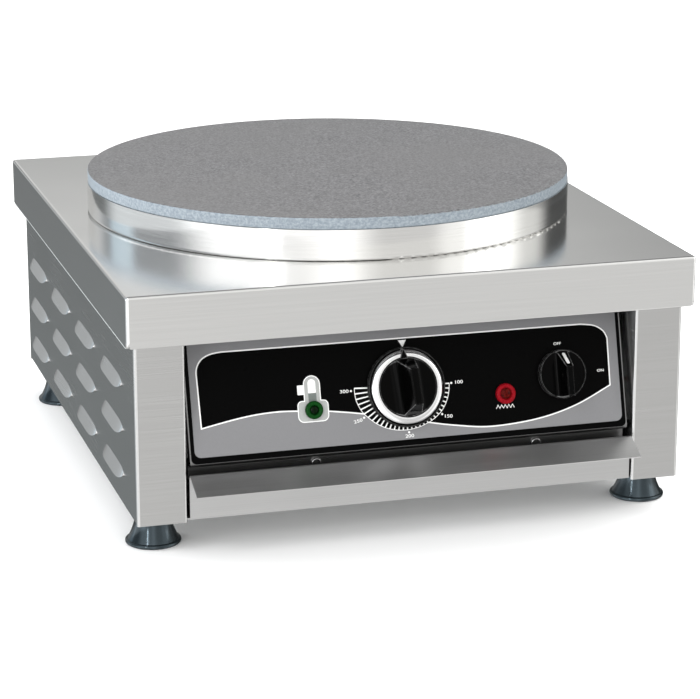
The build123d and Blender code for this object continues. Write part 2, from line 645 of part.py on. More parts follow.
def louvre_section(share, inner):
    """Corners of a hood's triangular section at a share of its nose's run, outwards and up.

    The sections shrink towards the level of the nose's tip. The inner one leaves the
    sheet's thickness and runs through the wall.
    """
    scale = (1 - share**LOUVRE_NOSE_FULLNESS) ** (1 / LOUVRE_NOSE_FULLNESS)
    low = LOUVRE_NOSE_LEVEL * (1 - scale)
    high = low + LOUVRE_HEIGHT * scale
    rise = LOUVRE_RISE * scale
    slope = LOUVRE_HEIGHT / LOUVRE_RISE
    root = -SHEET / 2
    if inner:
        root = -2 * SHEET
        rise -= SHEET * (1 + 1 / slope**2) ** 0.5
        high -= SHEET * (1 + slope**2) ** 0.5
    return [(root, low), (rise, low), (root, high - root * slope)]


def louvre_form(inner):
    """Solid under a stamped hood with a rounded nose at each end, its lip along Z."""
    corners = []
    for share in LOUVRE_NOSE_STATIONS:
        if share <= LOUVRE_SHUT or not inner:
            end = LOUVRE_RUN / 2 + share * LOUVRE_NOSE
            corners += [(x, y, z) for x, y in louvre_section(share, inner) for z in (-end, end)]
    if not inner:
        tip = LOUVRE_RUN / 2 + LOUVRE_NOSE
        corners += [(0, LOUVRE_NOSE_LEVEL, z) for z in (-tip, tip)]
    return ConvexPolyhedron(corners)


def add_louvres(panel, wall_x):
    """Presses the louvres outwards, open below, in the wall whose outer face is at -wall_x."""
    hood = louvre_form(False)
    hollow = louvre_form(True)
    turn = Plane(origin=(-wall_x, 0, 0), x_dir=(-1, 0, 0), z_dir=(0, 1, 0))
    for y, z in louvre_places():
        place = Pos(0, y, z) * turn.location
        panel += place * hood
        panel -= place * hollow
    return panel


def side_panel():
    """Left side: wall, front post with its return, rear flange, top and bottom flanges, louvres."""
    plan = folded(
        [
            (-SIDE + REAR_FLANGE, BACK - SHEET),
            (-SIDE, BACK - SHEET),
            (-SIDE, FRONT),
            (-POST_INNER, FRONT),
            (-POST_INNER, FRONT + POST_RETURN),
        ],
        SHEET,
        Side.LEFT,
        BEND,
    )
    front_relief = FRONT + BEND
    rear_relief = BACK - SHEET - BEND
    panel = along_z(plan, BODY_BOTTOM, BODY_TOP)
    panel -= block(-SIDE, -SIDE + BEND, front_relief, rear_relief, BODY_BOTTOM, BODY_TOP)
    return_foot = BASE_TOP + ASSEMBLY_GAP
    panel -= block(
        -POST_INNER - 2 * SHEET, -POST_INNER + SHEET, FRONT + SHEET, FRONT + 2 * POST_RETURN, 0, return_foot
    )
    wall = folded(
        [
            (-SIDE + TOP_FLANGE, BODY_TOP),
            (-SIDE, BODY_TOP),
            (-SIDE, BODY_BOTTOM),
            (-SIDE + BOTTOM_FLANGE, BODY_BOTTOM),
        ],
        SHEET,
        Side.LEFT,
        BEND,
    )
    panel += along_y(wall, front_relief, rear_relief)
    panel = add_louvres(panel, SIDE)
    panel = weld_stud_holes(panel)
    for x, y in FEET.values():
        panel -= post(x, y, FOOT_BOLT_RADIUS + FOOT_BOLT_CLEARANCE, BODY_BOTTOM, BASE_UNDERSIDE)
    return rear_screw_holes(panel)


def rear_screw_places():
    """Back panel screws as X and Z: three down each side flange, two in the base's upstand."""
    flange_x = SIDE - REAR_FLANGE / 2 - BEND
    places = [(x, z) for x in (-flange_x, flange_x) for z in REAR_SCREW_ROWS]
    places += [(x, BASE_TOP + BASE_UPSTAND / 2) for x in (-REAR_SCREW_X, REAR_SCREW_X)]
    return places


def rear_screw_holes(part):
    """Holes for the back panel screws."""
    for x, z in rear_screw_places():
        drill = Pos(x, BACK, z) * Rot(90, 0, 0) * Cylinder(SCREW_RADIUS + SCREW_CLEARANCE, 8 * SHEET)
        part -= drill
    return part


def slot_grid(columns, rows, pitch_x, pitch_y):
    """Grid of round-ended slots about the origin."""
    slots = GridLocations(pitch_x, pitch_y, columns, rows) * SlotOverall(SLOT_LENGTH, SLOT_WIDTH)
    return Sketch() + slots


def back_panel():
    """Flat rear panel with vent slots, cable gland hole and bonding stud hole."""
    half = SIDE - BEND - BACK_PANEL_INSET
    panel = block(
        -half, half, BACK - SHEET, BACK, BODY_BOTTOM + BACK_PANEL_INSET, BODY_TOP - BACK_PANEL_INSET
    )
    slots = slot_grid(BACK_SLOT_COLUMNS, BACK_SLOT_ROWS, BACK_SLOT_PITCH_X, BACK_SLOT_PITCH_Z)
    panel -= along_y(Pos(0, BACK_SLOT_CENTRE_Z) * slots, BACK - SHEET, BACK)
    gland_hole = Circle(GLAND_THREAD + SCREW_CLEARANCE)
    panel -= along_y(Pos(GLAND_X, REAR_FITTING_Z) * gland_hole, BACK - SHEET, BACK)
    bonding_hole = Circle(WELD_STUD_RADIUS + SCREW_CLEARANCE)
    panel -= along_y(Pos(BONDING_X, REAR_FITTING_Z) * bonding_hole, BACK - SHEET, BACK)
    return rear_screw_holes(panel)


def base_panel():
    """Bottom sheet on the side panels' flanges, folded up behind, with vent slots at the rear."""
    half = SIDE - BEND - ASSEMBLY_GAP
    front = FRONT + BASE_INSET
    rear = BACK - 2 * SHEET - ASSEMBLY_GAP
    upstand_half = SIDE - REAR_FLANGE - BASE_INSET
    panel = block(-half, half, front, rear - BEND, BASE_UNDERSIDE, BASE_TOP)
    upstand = folded(
        [
            (rear - 2 * BEND, BASE_UNDERSIDE),
            (BACK - SHEET, BASE_UNDERSIDE),
            (BACK - SHEET, BASE_TOP + BASE_UPSTAND),
        ],
        SHEET,
        Side.LEFT,
        BEND,
    )
    panel += along_x(upstand, -upstand_half, upstand_half)
    slots = slot_grid(BASE_SLOT_COLUMNS, BASE_SLOT_ROWS, BASE_SLOT_PITCH_X, BASE_SLOT_PITCH_Y)
    panel -= along_z(Pos(0, BASE_SLOT_CENTRE_Y) * slots, BASE_UNDERSIDE, BASE_TOP)
    for x, y in FEET.values():
        panel -= post(x, y, FOOT_BOLT_RADIUS + FOOT_BOLT_CLEARANCE, BASE_UNDERSIDE, BASE_TOP)
    for x, y in base_screw_places():
        panel -= post(x, y, SCREW_RADIUS + SCREW_CLEARANCE, BASE_UNDERSIDE, BASE_TOP)
    return rear_screw_holes(panel)


def base_screw_places():
    """Screws that hold the tray runners, as X and Y."""
    runner_x = TRAY_HALF_WIDTH + TRAY_GAP + SHEET - RUNNER_SHELF / 2
    rows = (FRONT + RUNNER_SCREW_INSET, TRAY_REAR - RUNNER_SCREW_INSET)
    return [(x, y) for x in (-runner_x, runner_x) for y in rows]


# ---------------------------------------------------------------- control panel
def control_fascia():
    """Inclined panel: top flange under the cover, rounded lower edge, return and down leg."""
    line = [
        (FASCIA_LEG_Y, RAIL_BOTTOM),
        (FASCIA_LEG_Y, FASCIA_BOTTOM),
        (FASCIA_EDGE_Y, FASCIA_BOTTOM),
        (FASCIA_TOP_Y, BODY_TOP),
        (FASCIA_TOP_Y + FASCIA_TOP_FLANGE, BODY_TOP),
    ]
    section = folded(line, SHEET, Side.RIGHT, (BEND, FASCIA_BEND, BEND))
    fascia = along_x(section, -FASCIA_HALF_WIDTH, FASCIA_HALF_WIDTH)
    low = FASCIA_BEND + SHEET - DATUM_HEIGHT
    high = (BODY_TOP - FASCIA_BOTTOM) / cos(TILT) - DATUM_HEIGHT - 2 * BEND
    for side in (-1, 1):
        flange = Pos(side * (FASCIA_HALF_WIDTH - SHEET / 2), (low + high) / 2) * Rectangle(SHEET, high - low)
        fascia += PANEL.offset(-FASCIA_SIDE_FLANGE) * extrude(flange, amount=FASCIA_SIDE_FLANGE)
    for x, y, radius in control_holes():
        fascia -= disc_on(PANEL, x, y, radius, -SHEET, 0)
    for x in RAIL_SCREW_X:
        drill = Circle(SCREW_RADIUS + SCREW_CLEARANCE)
        fascia -= along_y(Pos(x, FASCIA_BOTTOM - RAIL_SCREW_DROP) * drill, FASCIA_LEG_Y, RAIL_FRONT)
    return weld_stud_holes(fascia)


def control_holes():
    """Each hole through the fascia and the overlay, as x, y and radius on the panel."""
    bush = BUSH_RADIUS + SCREW_CLEARANCE
    lamp = LAMP_BODY_RADIUS + LAMP_STEM_GAP
    return [
        (THERMOSTAT_X, KNOB_ROW, bush),
        (SWITCH_X, KNOB_ROW, bush),
        (RED_LAMP_X, LAMP_ROW, lamp),
        (GREEN_LAMP_X, LAMP_ROW, lamp),
    ]


def fascia_overlay():
    """Printed sheet stuck on the fascia, with holes for the knobs and lamps."""
    height = OVERLAY_HIGH - OVERLAY_LOW
    outline = Pos(0, (OVERLAY_HIGH + OVERLAY_LOW) / 2) * Rectangle(2 * OVERLAY_HALF_WIDTH, height)
    outline = fillet(outline.vertices().group_by(Axis.Y)[0], OVERLAY_CORNER)
    for x, y, radius in control_holes():
        widened = radius
        if y == KNOB_ROW:
            widened = BUSH_NUT_ROOM
        outline -= Pos(x, y) * Circle(widened)
    return PANEL * extrude(outline, amount=OVERLAY_SHEET)


def cross_rail():
    """Rail behind the slot over the tray, folded back at both ends against the post returns."""
    line = [
        (-POST_INNER, RAIL_FRONT + RAIL_TAB),
        (-POST_INNER, RAIL_FRONT),
        (POST_INNER, RAIL_FRONT),
        (POST_INNER, RAIL_FRONT + RAIL_TAB),
    ]
    rail = along_z(folded(line, SHEET, Side.LEFT, BEND), RAIL_BOTTOM, RAIL_BOTTOM + RAIL_HEIGHT)
    for x in RAIL_SCREW_X:
        drill = Circle(SCREW_RADIUS + THREAD_GAP)
        rail -= along_y(Pos(x, FASCIA_BOTTOM - RAIL_SCREW_DROP) * drill, RAIL_FRONT, RAIL_FRONT + 2 * SHEET)
    return rail


def rail_screws():
    """Screws from the front through the fascia's down leg into the cross rail."""
    row = (0, FASCIA_LEG_Y, FASCIA_BOTTOM - RAIL_SCREW_DROP)
    facing = Plane(origin=row, x_dir=(1, 0, 0), z_dir=(0, -1, 0))
    return group([facing * Pos(x, 0, 0) * pan_screw(SCREW_LENGTH) for x in RAIL_SCREW_X])


def control_body(x, size, blades):
    """Switch or thermostat behind the fascia: moulded body, threaded bush, connection blades."""
    width, height, depth = size
    body = Pos(x, KNOB_ROW, -SHEET - depth / 2) * Box(width, height, depth)
    body = fillet(body.edges().filter_by(Axis.Z), SHEET)
    band = Box(width + 2 * BODY_BAND, height + 2 * BODY_BAND, BODY_BAND_WIDTH)
    body += Pos(x, KNOB_ROW, BODY_BAND_INSET - SHEET - depth) * band
    body += Pos(x, KNOB_ROW, -SHEET) * extrude(Circle(BUSH_RADIUS), amount=SHEET + BUSH_LENGTH)
    bore = Circle(SHAFT_RADIUS + SHAFT_RUNNING_GAP)
    bore_depth = SHAFT_DEPTH + ASSEMBLY_GAP
    body -= Pos(x, KNOB_ROW, -SHEET - bore_depth) * extrude(bore, amount=bore_depth + SHEET + BUSH_LENGTH)
    rear = -SHEET - depth
    for column in range(blades):
        blade_x = x + (column - (blades - 1) / 2) * width / blades
        for row in (-1, 1):
            blade = Box(BLADE_WIDTH, BLADE_SHEET, BLADE_LENGTH)
            body += Pos(blade_x, KNOB_ROW + row * height / 4, rear - BLADE_LENGTH / 2) * blade
    return PANEL * body


def bush_nut(x):
    """Nut that clamps the control's bush to the fascia, hidden under the knob."""
    nut = hex_nut(BUSH_NUT_WIDTH, BUSH_RADIUS + THREAD_GAP, BUSH_NUT_HEIGHT)
    return PANEL * Pos(x, KNOB_ROW, 0) * nut


def d_section(gap):
    """Round section with a flat, for a knob shaft or its socket."""
    radius = SHAFT_RADIUS + gap
    flat_at = SHAFT_RADIUS - SHAFT_FLAT + gap
    cut = Pos(0, flat_at + radius) * Rectangle(4 * radius, 2 * radius)
    return Circle(radius) - cut


def knob_shaft(x, rest_turn):
    """Shaft with a D flat that turns in the bush and carries the knob."""
    socket_top = KNOB_BASE + KNOB_BORE_DEPTH - ASSEMBLY_GAP
    round_part = extrude(Circle(SHAFT_RADIUS), amount=SHEET + SHAFT_DEPTH + BUSH_LENGTH)
    flat_part = extrude(d_section(0), amount=socket_top - BUSH_LENGTH)
    shaft = Pos(0, 0, -SHEET - SHAFT_DEPTH) * round_part
    shaft += Pos(0, 0, BUSH_LENGTH) * flat_part
    return PANEL * Pos(x, KNOB_ROW, 0) * Rot(0, 0, rest_turn) * shaft


def grip(size, foot, ends, reach, base):
    """Grip bar of a knob: hollow foot, tapered sides, sloped ends, trimmed by the knob's circle."""
    waist, top_half, height = size
    pointer_run, tail_run = ends
    top = base + height
    half = waist + foot
    corners = (
        (-half, base),
        (half, base),
        (half, base + foot),
        (waist, base + foot),
        (top_half, top),
        (-top_half, top),
        (-waist, base + foot),
        (-half, base + foot),
    )
    front_view = make_face(Polyline(*corners, close=True))
    for side in (-1, 1):
        front_view -= Pos(side * half, base + foot) * Circle(foot)
    side_view = Polyline(
        (-reach, base),
        (reach, base),
        (reach - pointer_run, top),
        (tail_run - reach, top),
        close=True,
    )
    bar = along_y(front_view, -reach, reach)
    bar &= along_x(make_face(side_view), -half, half)
    bar &= post(0, 0, reach, base, top)
    return fillet(bar.faces().sort_by(Axis.Z)[-1].edges(), top_half * GRIP_ROUND)


def knob_hollow():
    """Space under a knob: room for the nut and the bush, and the shaft's socket."""
    room = post(0, 0, KNOB_ROOM, KNOB_BASE, BUSH_NUT_HEIGHT + KNOB_GAP)
    room += post(0, 0, BUSH_RADIUS + BUSH_ROOM, KNOB_BASE, BUSH_LENGTH + ASSEMBLY_GAP)
    socket = Pos(0, 0, KNOB_BASE) * extrude(d_section(THREAD_GAP), amount=KNOB_BORE_DEPTH)
    return room + socket


def pointer(gap):
    """Outline of the wedge that crosses the trim ring, widened by a gap."""
    root_half, tip_half = POINTER_HALF
    low = TRIM_INNER - POINTER_ROOT
    tip = TRIM_OUTER + POINTER_TIP
    corners = (
        (-root_half - gap, low),
        (root_half + gap, low),
        (tip_half + gap, tip),
        (-tip_half - gap, tip),
    )
    return make_face(Polyline(*corners, close=True))


def thermostat_knob():
    """Knob with a wide skirt, a seat for the trim ring, a pointer and a tall grip."""
    skirt_top = KNOB_BASE + THERMOSTAT_SKIRT_HEIGHT
    skirt = post(0, 0, THERMOSTAT_SKIRT, KNOB_BASE, skirt_top)
    skirt = chamfer(skirt.edges().group_by(Axis.Z)[-1], KNOB_CHAMFER)
    hub_radius = TRIM_INNER - TRIM_SEAT
    hub_top = skirt_top + TRIM_RISE
    hub = post(0, 0, hub_radius, skirt_top, hub_top)
    hub = chamfer(hub.edges().group_by(Axis.Z)[-1], KNOB_CHAMFER)
    knob = skirt + hub
    knob += grip(THERMOSTAT_GRIP, THERMOSTAT_GRIP_FOOT, THERMOSTAT_GRIP_END, hub_radius - SHEET, hub_top)
    knob += Pos(0, 0, skirt_top) * extrude(pointer(0), amount=TRIM_RISE + POINTER_RISE)
    knob -= knob_hollow()
    return PANEL * Pos(THERMOSTAT_X, KNOB_ROW, 0) * Rot(0, 0, THERMOSTAT_REST_TURN) * knob


def thermostat_trim_ring():
    """Crowned bright ring round the knob's hub, open where the pointer crosses it."""
    low = KNOB_BASE + THERMOSTAT_SKIRT_HEIGHT
    outer = Vector(TRIM_OUTER, low + TRIM_EDGE)
    inner = Vector(TRIM_INNER + TRIM_LAND, low + TRIM_RISE)
    slope = inner - outer
    crown = (outer + inner) / 2 + Vector(slope.Y, -slope.X).normalized() * TRIM_BULGE
    section = Polyline(inner, (TRIM_INNER, low + TRIM_RISE), (TRIM_INNER, low), (TRIM_OUTER, low), outer)
    section = make_face(section + ThreePointArc(outer, crown, inner))
    ring = revolve(Plane.XZ * section, axis=Axis.Z)
    ring -= Pos(0, 0, low) * extrude(pointer(POINTER_GAP), amount=TRIM_RISE)
    return PANEL * Pos(THERMOSTAT_X, KNOB_ROW, 0) * Rot(0, 0, THERMOSTAT_REST_TURN) * ring


def power_knob():
    """Small knob with a sloped grip end that carries the white marker."""
    skirt_top = KNOB_BASE + SWITCH_SKIRT_HEIGHT
    skirt = post(0, 0, SWITCH_SKIRT, KNOB_BASE, skirt_top)
    skirt = chamfer(skirt.edges().group_by(Axis.Z)[-1], KNOB_CHAMFER)
    knob = skirt + grip(SWITCH_GRIP, SWITCH_GRIP_FOOT, SWITCH_GRIP_END, SWITCH_SKIRT - SHEET, skirt_top)
    knob -= knob_hollow()
    return PANEL * Pos(SWITCH_X, KNOB_ROW, 0) * knob


def power_knob_marker():
    """White line on the sloped end of the power knob's grip."""
    run = SWITCH_GRIP_END[0]
    height = SWITCH_GRIP[2]
    low = (SWITCH_SKIRT - SHEET, KNOB_BASE + SWITCH_SKIRT_HEIGHT)
    slope_length = (run**2 + height**2) ** 0.5
    slope = Plane(
        origin=(0, low[0] - run / 2, low[1] + height / 2),
        x_dir=(1, 0, 0),
        z_dir=(0, height, run),
    )
    length = slope_length - 2 * MARKER_INSET - 2 * MARKER_WIDTH
    line = slope * extrude(Rot(0, 0, 90) * SlotOverall(length, MARKER_WIDTH), amount=MARKER_SHEET)
    return PANEL * Pos(SWITCH_X, KNOB_ROW, 0) * line


def lamp_lens(x, radius):
    """Lens that sits on the overlay over the lamp's stem: raised ring with a bead in its middle."""
    groove = radius - LENS_RING
    seat = LENS_CROWN - LENS_RING / 2
    bead_height = LENS_BEAD - seat
    bead_radius = (groove**2 + bead_height**2) / (2 * bead_height)
    ring = ThreePointArc((radius, seat), (radius - LENS_RING / 2, LENS_CROWN), (groove, seat))
    bead = RadiusArc((groove, seat), (0, LENS_BEAD), -bead_radius)
    section = Polyline((0, LENS_BEAD), (0, 0), (radius, 0), (radius, seat)) + ring + bead
    lens = revolve(Plane.XZ * make_face(section), axis=Axis.Z)
    return PANEL * Pos(x, LAMP_ROW, OVERLAY_SHEET) * lens


def lamp_body(x):
    """Lamp holder: stem through the fascia, push-on nut behind it and two blades."""
    stem = post(0, 0, LAMP_BODY_RADIUS, -LAMP_BODY_LENGTH, OVERLAY_SHEET)
    nut = Pos(0, 0, -SHEET - LAMP_NUT_HEIGHT) * hex_nut(LAMP_NUT_WIDTH, 0, LAMP_NUT_HEIGHT)
    body = stem + nut
    for side in (-1, 1):
        blade = Box(BLADE_SHEET, BLADE_WIDTH / 2, BLADE_LENGTH)
        body += Pos(side * LAMP_BODY_RADIUS / 2, 0, -LAMP_BODY_LENGTH - BLADE_LENGTH / 2) * blade
    return PANEL * Pos(x, LAMP_ROW, 0) * body


# ---------------------------------------------------------------- drip tray
def drip_tray():
    """Drawer pan with a front strip whose upper edge is folded out as a pull lip."""
    strip_line = [
        (FRONT, TRAY_FRONT_BOTTOM),
        (FRONT, TRAY_FRONT_TOP),
        (FRONT - TRAY_LIP_REACH, TRAY_FRONT_TOP - TRAY_LIP_DROP),
    ]
    strip = folded(strip_line, TRAY_SHEET, Side.RIGHT, TRAY_LIP_BEND - TRAY_SHEET)
    tray = along_x(strip, -TRAY_FRONT_HALF_WIDTH, TRAY_FRONT_HALF_WIDTH)
    front = FRONT + TRAY_SHEET
    floor = TRAY_UNDERSIDE + TRAY_SHEET
    hem_top = TRAY_UNDERSIDE + TRAY_WALL
    inner_half = TRAY_HALF_WIDTH - TRAY_SHEET
    outer = block(-TRAY_HALF_WIDTH, TRAY_HALF_WIDTH, front, TRAY_REAR, TRAY_UNDERSIDE, hem_top)
    inner = block(-inner_half, inner_half, front, TRAY_REAR - TRAY_SHEET, floor, hem_top)
    outer = fillet(outer.edges().filter_by(Axis.Z).group_by(Axis.Y)[-1], TRAY_CORNER)
    inner = fillet(inner.edges().filter_by(Axis.Z).group_by(Axis.Y)[-1], TRAY_CORNER - TRAY_SHEET)
    pan = outer - inner
    for side in (-1, 1):
        low_x, high_x = sorted((side * inner_half, side * (TRAY_HALF_WIDTH + TRAY_HEM)))
        pan += block(low_x, high_x, front, TRAY_REAR - TRAY_CORNER, hem_top - TRAY_SHEET, hem_top)
    return tray + pan


def tray_runner():
    """Left runner: shelf under the tray, guide beside it and a stop behind it."""
    guide_x = -TRAY_HALF_WIDTH - TRAY_GAP - SHEET
    line = [
        (guide_x + RUNNER_SHELF, BASE_TOP),
        (guide_x, BASE_TOP),
        (guide_x, BASE_TOP + RUNNER_GUIDE),
    ]
    section = folded(line, SHEET, Side.RIGHT, BEND)
    rear = TRAY_REAR + TRAY_GAP + SHEET
    runner = along_y(section, FRONT + BASE_INSET + BEND, rear)
    stop_end = guide_x + RUNNER_STOP
    runner += block(guide_x + SHEET, stop_end, rear - SHEET, rear, BASE_TOP, BASE_TOP + RUNNER_GUIDE)
    for x, y in base_screw_places():
        runner -= post(x, y, SCREW_RADIUS + THREAD_GAP, BASE_TOP, RUNNER_TOP)
    return runner


def runner_screws():
    """Screws from below through the base panel into the runners, flush on top."""
    screw = Rot(180, 0, 0) * pan_screw(2 * SHEET)
    return group([Pos(x, y, BASE_UNDERSIDE) * screw for x, y in base_screw_places()])


# ---------------------------------------------------------------- feet
def foot(x, y):
    """Flared foot with a rounded rim and a recess for the bolt's head."""
    rim = FOOT_BASE_RADIUS - FOOT_RIM / 2
    outline = make_face(
        Curve()
        + [
            Line((0, 0), (rim, 0)),
            ThreePointArc((rim, 0), (FOOT_BASE_RADIUS, FOOT_RIM / 2), (rim, FOOT_RIM)),
            RadiusArc((rim, FOOT_RIM), (FOOT_NECK_RADIUS, FOOT_HEIGHT), FOOT_FLARE),
            Line((FOOT_NECK_RADIUS, FOOT_HEIGHT), (0, FOOT_HEIGHT)),
            Line((0, FOOT_HEIGHT), (0, 0)),
        ]
    )
    shape = revolve(Plane.XZ * outline, axis=Axis.Z)
    shape -= post(0, 0, FOOT_RECESS_RADIUS, 0, FOOT_BOLT_SEAT)
    shape -= post(0, 0, FOOT_BOLT_RADIUS + FOOT_BOLT_CLEARANCE, FOOT_BOLT_SEAT, FOOT_HEIGHT)
    return Pos(x, y, 0) * shape


def foot_bolts():
    """Hexagon bolts up through the feet, the bottom flanges and the base panel."""
    head = Pos(0, 0, FOOT_BOLT_SEAT - FOOT_BOLT_HEAD) * hex_nut(FOOT_BOLT_HEAD_WIDTH, 0, FOOT_BOLT_HEAD)
    bolt = head + post(0, 0, FOOT_BOLT_RADIUS, FOOT_BOLT_SEAT, BASE_TOP + NUT_HEIGHT + SHEET)
    return group([Pos(x, y, 0) * bolt for x, y in FEET.values()])


def foot_nuts():
    """Nuts on the foot bolts, inside on the base panel."""
    nut = hex_nut(NUT_WIDTH, FOOT_BOLT_RADIUS + THREAD_GAP, NUT_HEIGHT)
    return group([Pos(x, y, BASE_TOP) * nut for x, y in FEET.values()])


# ---------------------------------------------------------------- rear fittings
def back_panel_screws():
    """Screws round the back panel."""
    screws = []
    for x, z in rear_screw_places():
        facing = Plane(origin=(x, BACK, z), x_dir=(-1, 0, 0), z_dir=(0, 1, 0))
        screws.append(facing * pan_screw(SCREW_LENGTH))
    return group(screws)


def cable_gland():
    """Gland body with hexagon, threaded tail and domed cap, open for the mains cable."""
    dome_end = GLAND_HEX_HEIGHT + GLAND_DOME_LENGTH
    section = make_face(
        Polyline(
            (GLAND_BORE, -SHEET - GLAND_TAIL),
            (GLAND_THREAD, -SHEET - GLAND_TAIL),
            (GLAND_THREAD, 0),
            (GLAND_DOME_RADIUS, 0),
            (GLAND_DOME_RADIUS, GLAND_HEX_HEIGHT + GLAND_DOME_STRAIGHT),
            (GLAND_DOME_MOUTH, dome_end),
            (GLAND_BORE, dome_end),
            close=True,
        )
    )
    gland = revolve(Plane.XZ * section, axis=Axis.Z)
    gland += hex_nut(GLAND_HEX, GLAND_THREAD - SHEET, GLAND_HEX_HEIGHT)
    cap_low = GLAND_HEX_HEIGHT + SHEET
    gland += Pos(0, 0, cap_low) * hex_nut(GLAND_HEX - SHEET, GLAND_THREAD - SHEET, GLAND_CAP_HEIGHT)
    outward = Plane(origin=(GLAND_X, BACK, REAR_FITTING_Z), x_dir=(-1, 0, 0), z_dir=(0, 1, 0))
    return outward * gland


def gland_locknut():
    """Locknut inside the back panel."""
    nut = hex_nut(GLAND_HEX, GLAND_THREAD + THREAD_GAP, GLAND_HEX_HEIGHT)
    inward = Plane(origin=(GLAND_X, BACK - SHEET, REAR_FITTING_Z), x_dir=(1, 0, 0), z_dir=(0, -1, 0))
    return inward * nut


def bonding_stud():
    """Equipotential bonding stud through the back panel."""
    stud = post(0, 0, WELD_STUD_RADIUS, -SHEET - BONDING_TAIL, BONDING_LENGTH)
    stud = chamfer(stud.edges().group_by(Axis.Z)[-1], BONDING_CHAMFER)
    outward = Plane(origin=(BONDING_X, BACK, REAR_FITTING_Z), x_dir=(-1, 0, 0), z_dir=(0, 1, 0))
    return outward * stud


def bonding_nuts():
    """Nuts on both sides of the back panel, and the terminal nut further out."""
    nut = hex_nut(WELD_NUT_WIDTH, WELD_STUD_RADIUS + THREAD_GAP, WELD_NUT_HEIGHT)
    outward = Plane(origin=(BONDING_X, BACK, REAR_FITTING_Z), x_dir=(-1, 0, 0), z_dir=(0, 1, 0))
    levels = (-SHEET - WELD_NUT_HEIGHT, 0, WELD_NUT_HEIGHT + SHEET)
    return group([outward * Pos(0, 0, level) * nut for level in levels])


def terminal_block():
    """Screw terminal strip for the mains cable, on two feet on the base panel."""
    length, width, height = BLOCK_SIZE
    low = BASE_TOP + BLOCK_STANDOFF
    top = low + height
    body = block(-length / 2, length / 2, -width / 2, width / 2, low, top)
    pitch = length / BLOCK_POLES
    for pole in range(1, BLOCK_POLES):
        x = -length / 2 + pole * pitch
        body -= block(x - SHEET / 2, x + SHEET / 2, -width / 2, width / 2, top - BLOCK_SLIT_DEPTH, top)
    for pole in range(BLOCK_POLES):
        x = -length / 2 + (pole + 0.5) * pitch
        body -= post(x, 0, SCREW_HEAD_RADIUS, top - BLOCK_WELL_DEPTH, top)
    for side in (-1, 1):
        x = side * (length / 2 - pitch / 2)
        body += block(x - pitch / 3, x + pitch / 3, -width / 3, width / 3, BASE_TOP, low)
    return Pos(BLOCK_X, BLOCK_Y, 0) * body


def terminal_screws():
    """Clamp screws of the terminal strip."""
    length, _, height = BLOCK_SIZE
    pitch = length / BLOCK_POLES
    seat = BASE_TOP + BLOCK_STANDOFF + height - BLOCK_WELL_DEPTH
    radius = SCREW_HEAD_RADIUS - SCREW_CLEARANCE
    screws = []
    for pole in range(BLOCK_POLES):
        x = BLOCK_X - length / 2 + (pole + 0.5) * pitch
        screws.append(post(x, BLOCK_Y, radius, seat, seat + SCREW_HEAD_HEIGHT))
    return group(screws)


# ---------------------------------------------------------------- thermostat bulb
def thermostat_bulb():
    """Sensing bulb under the plate with its capillary down to the thermostat."""
    half = BULB_LENGTH / 2
    bulb = Pos(0, BULB_ROW, BULB_LEVEL) * along_x(Circle(BULB_RADIUS), -half, half)
    above = KNOB_ROW + THERMOSTAT_BODY[1] / 2 + CAPILLARY_RADIUS
    end = (PANEL * Pos(THERMOSTAT_X, above, -SHEET - THERMOSTAT_BODY[2] / 2)).position
    points = [
        (half, BULB_ROW, BULB_LEVEL),
        (CAPILLARY_X, BULB_ROW, BULB_LEVEL),
        (CAPILLARY_X, BULB_ROW, CAPILLARY_LEVEL),
        (end.X, end.Y, CAPILLARY_LEVEL),
        (end.X, end.Y, end.Z),
    ]
    route = FilletPolyline(*points, radius=CAPILLARY_BEND)
    tube = sweep(Plane(route @ 0, z_dir=route % 0) * Circle(CAPILLARY_RADIUS), path=route)
    return bulb + tube


def bulb_clips():
    """Channels on the clamp plate that hold the bulb by its sides."""
    half = BULB_RADIUS + BULB_CLIP_GAP + BULB_CLIP_SHEET
    line = [
        (BULB_ROW - half, BULB_LEVEL),
        (BULB_ROW - half, CLAMP_TOP),
        (BULB_ROW + half, CLAMP_TOP),
        (BULB_ROW + half, BULB_LEVEL),
    ]
    section = folded(line, BULB_CLIP_SHEET, Side.LEFT, 2 * BULB_CLIP_SHEET)
    near = (BULB_CLIP_PITCH - BULB_CLIP_LENGTH) / 2
    far = (BULB_CLIP_PITCH + BULB_CLIP_LENGTH) / 2
    return group([along_x(section, -far, -near), along_x(section, near, far)])


# ---------------------------------------------------------------- wires
def blade_tip(x, size, column, row):
    """Point just behind a connection blade, and the way a wire leaves it."""
    width, height, depth = size
    place = PANEL * Pos(
        x + column * width / 4, KNOB_ROW + row * height / 4, -SHEET - depth - BLADE_LENGTH - WIRE_END_GAP
    )
    return place.position, -PANEL.z_dir


def pole_front(pole):
    """Point in front of one pole of the terminal strip."""
    length, width, height = BLOCK_SIZE
    x = BLOCK_X - length / 2 + (pole + 0.5) * length / BLOCK_POLES
    return Vector(x, BLOCK_Y - width / 2 - WIRE_END_GAP, BASE_TOP + BLOCK_STANDOFF + height / 3)


def wire(*points):
    """Insulated wire: straight runs joined by tangent arcs."""
    route = FilletPolyline(*points, radius=WIRE_BEND)
    return sweep(Plane(route @ 0, z_dir=route % 0) * Circle(WIRE_RADIUS), path=route)


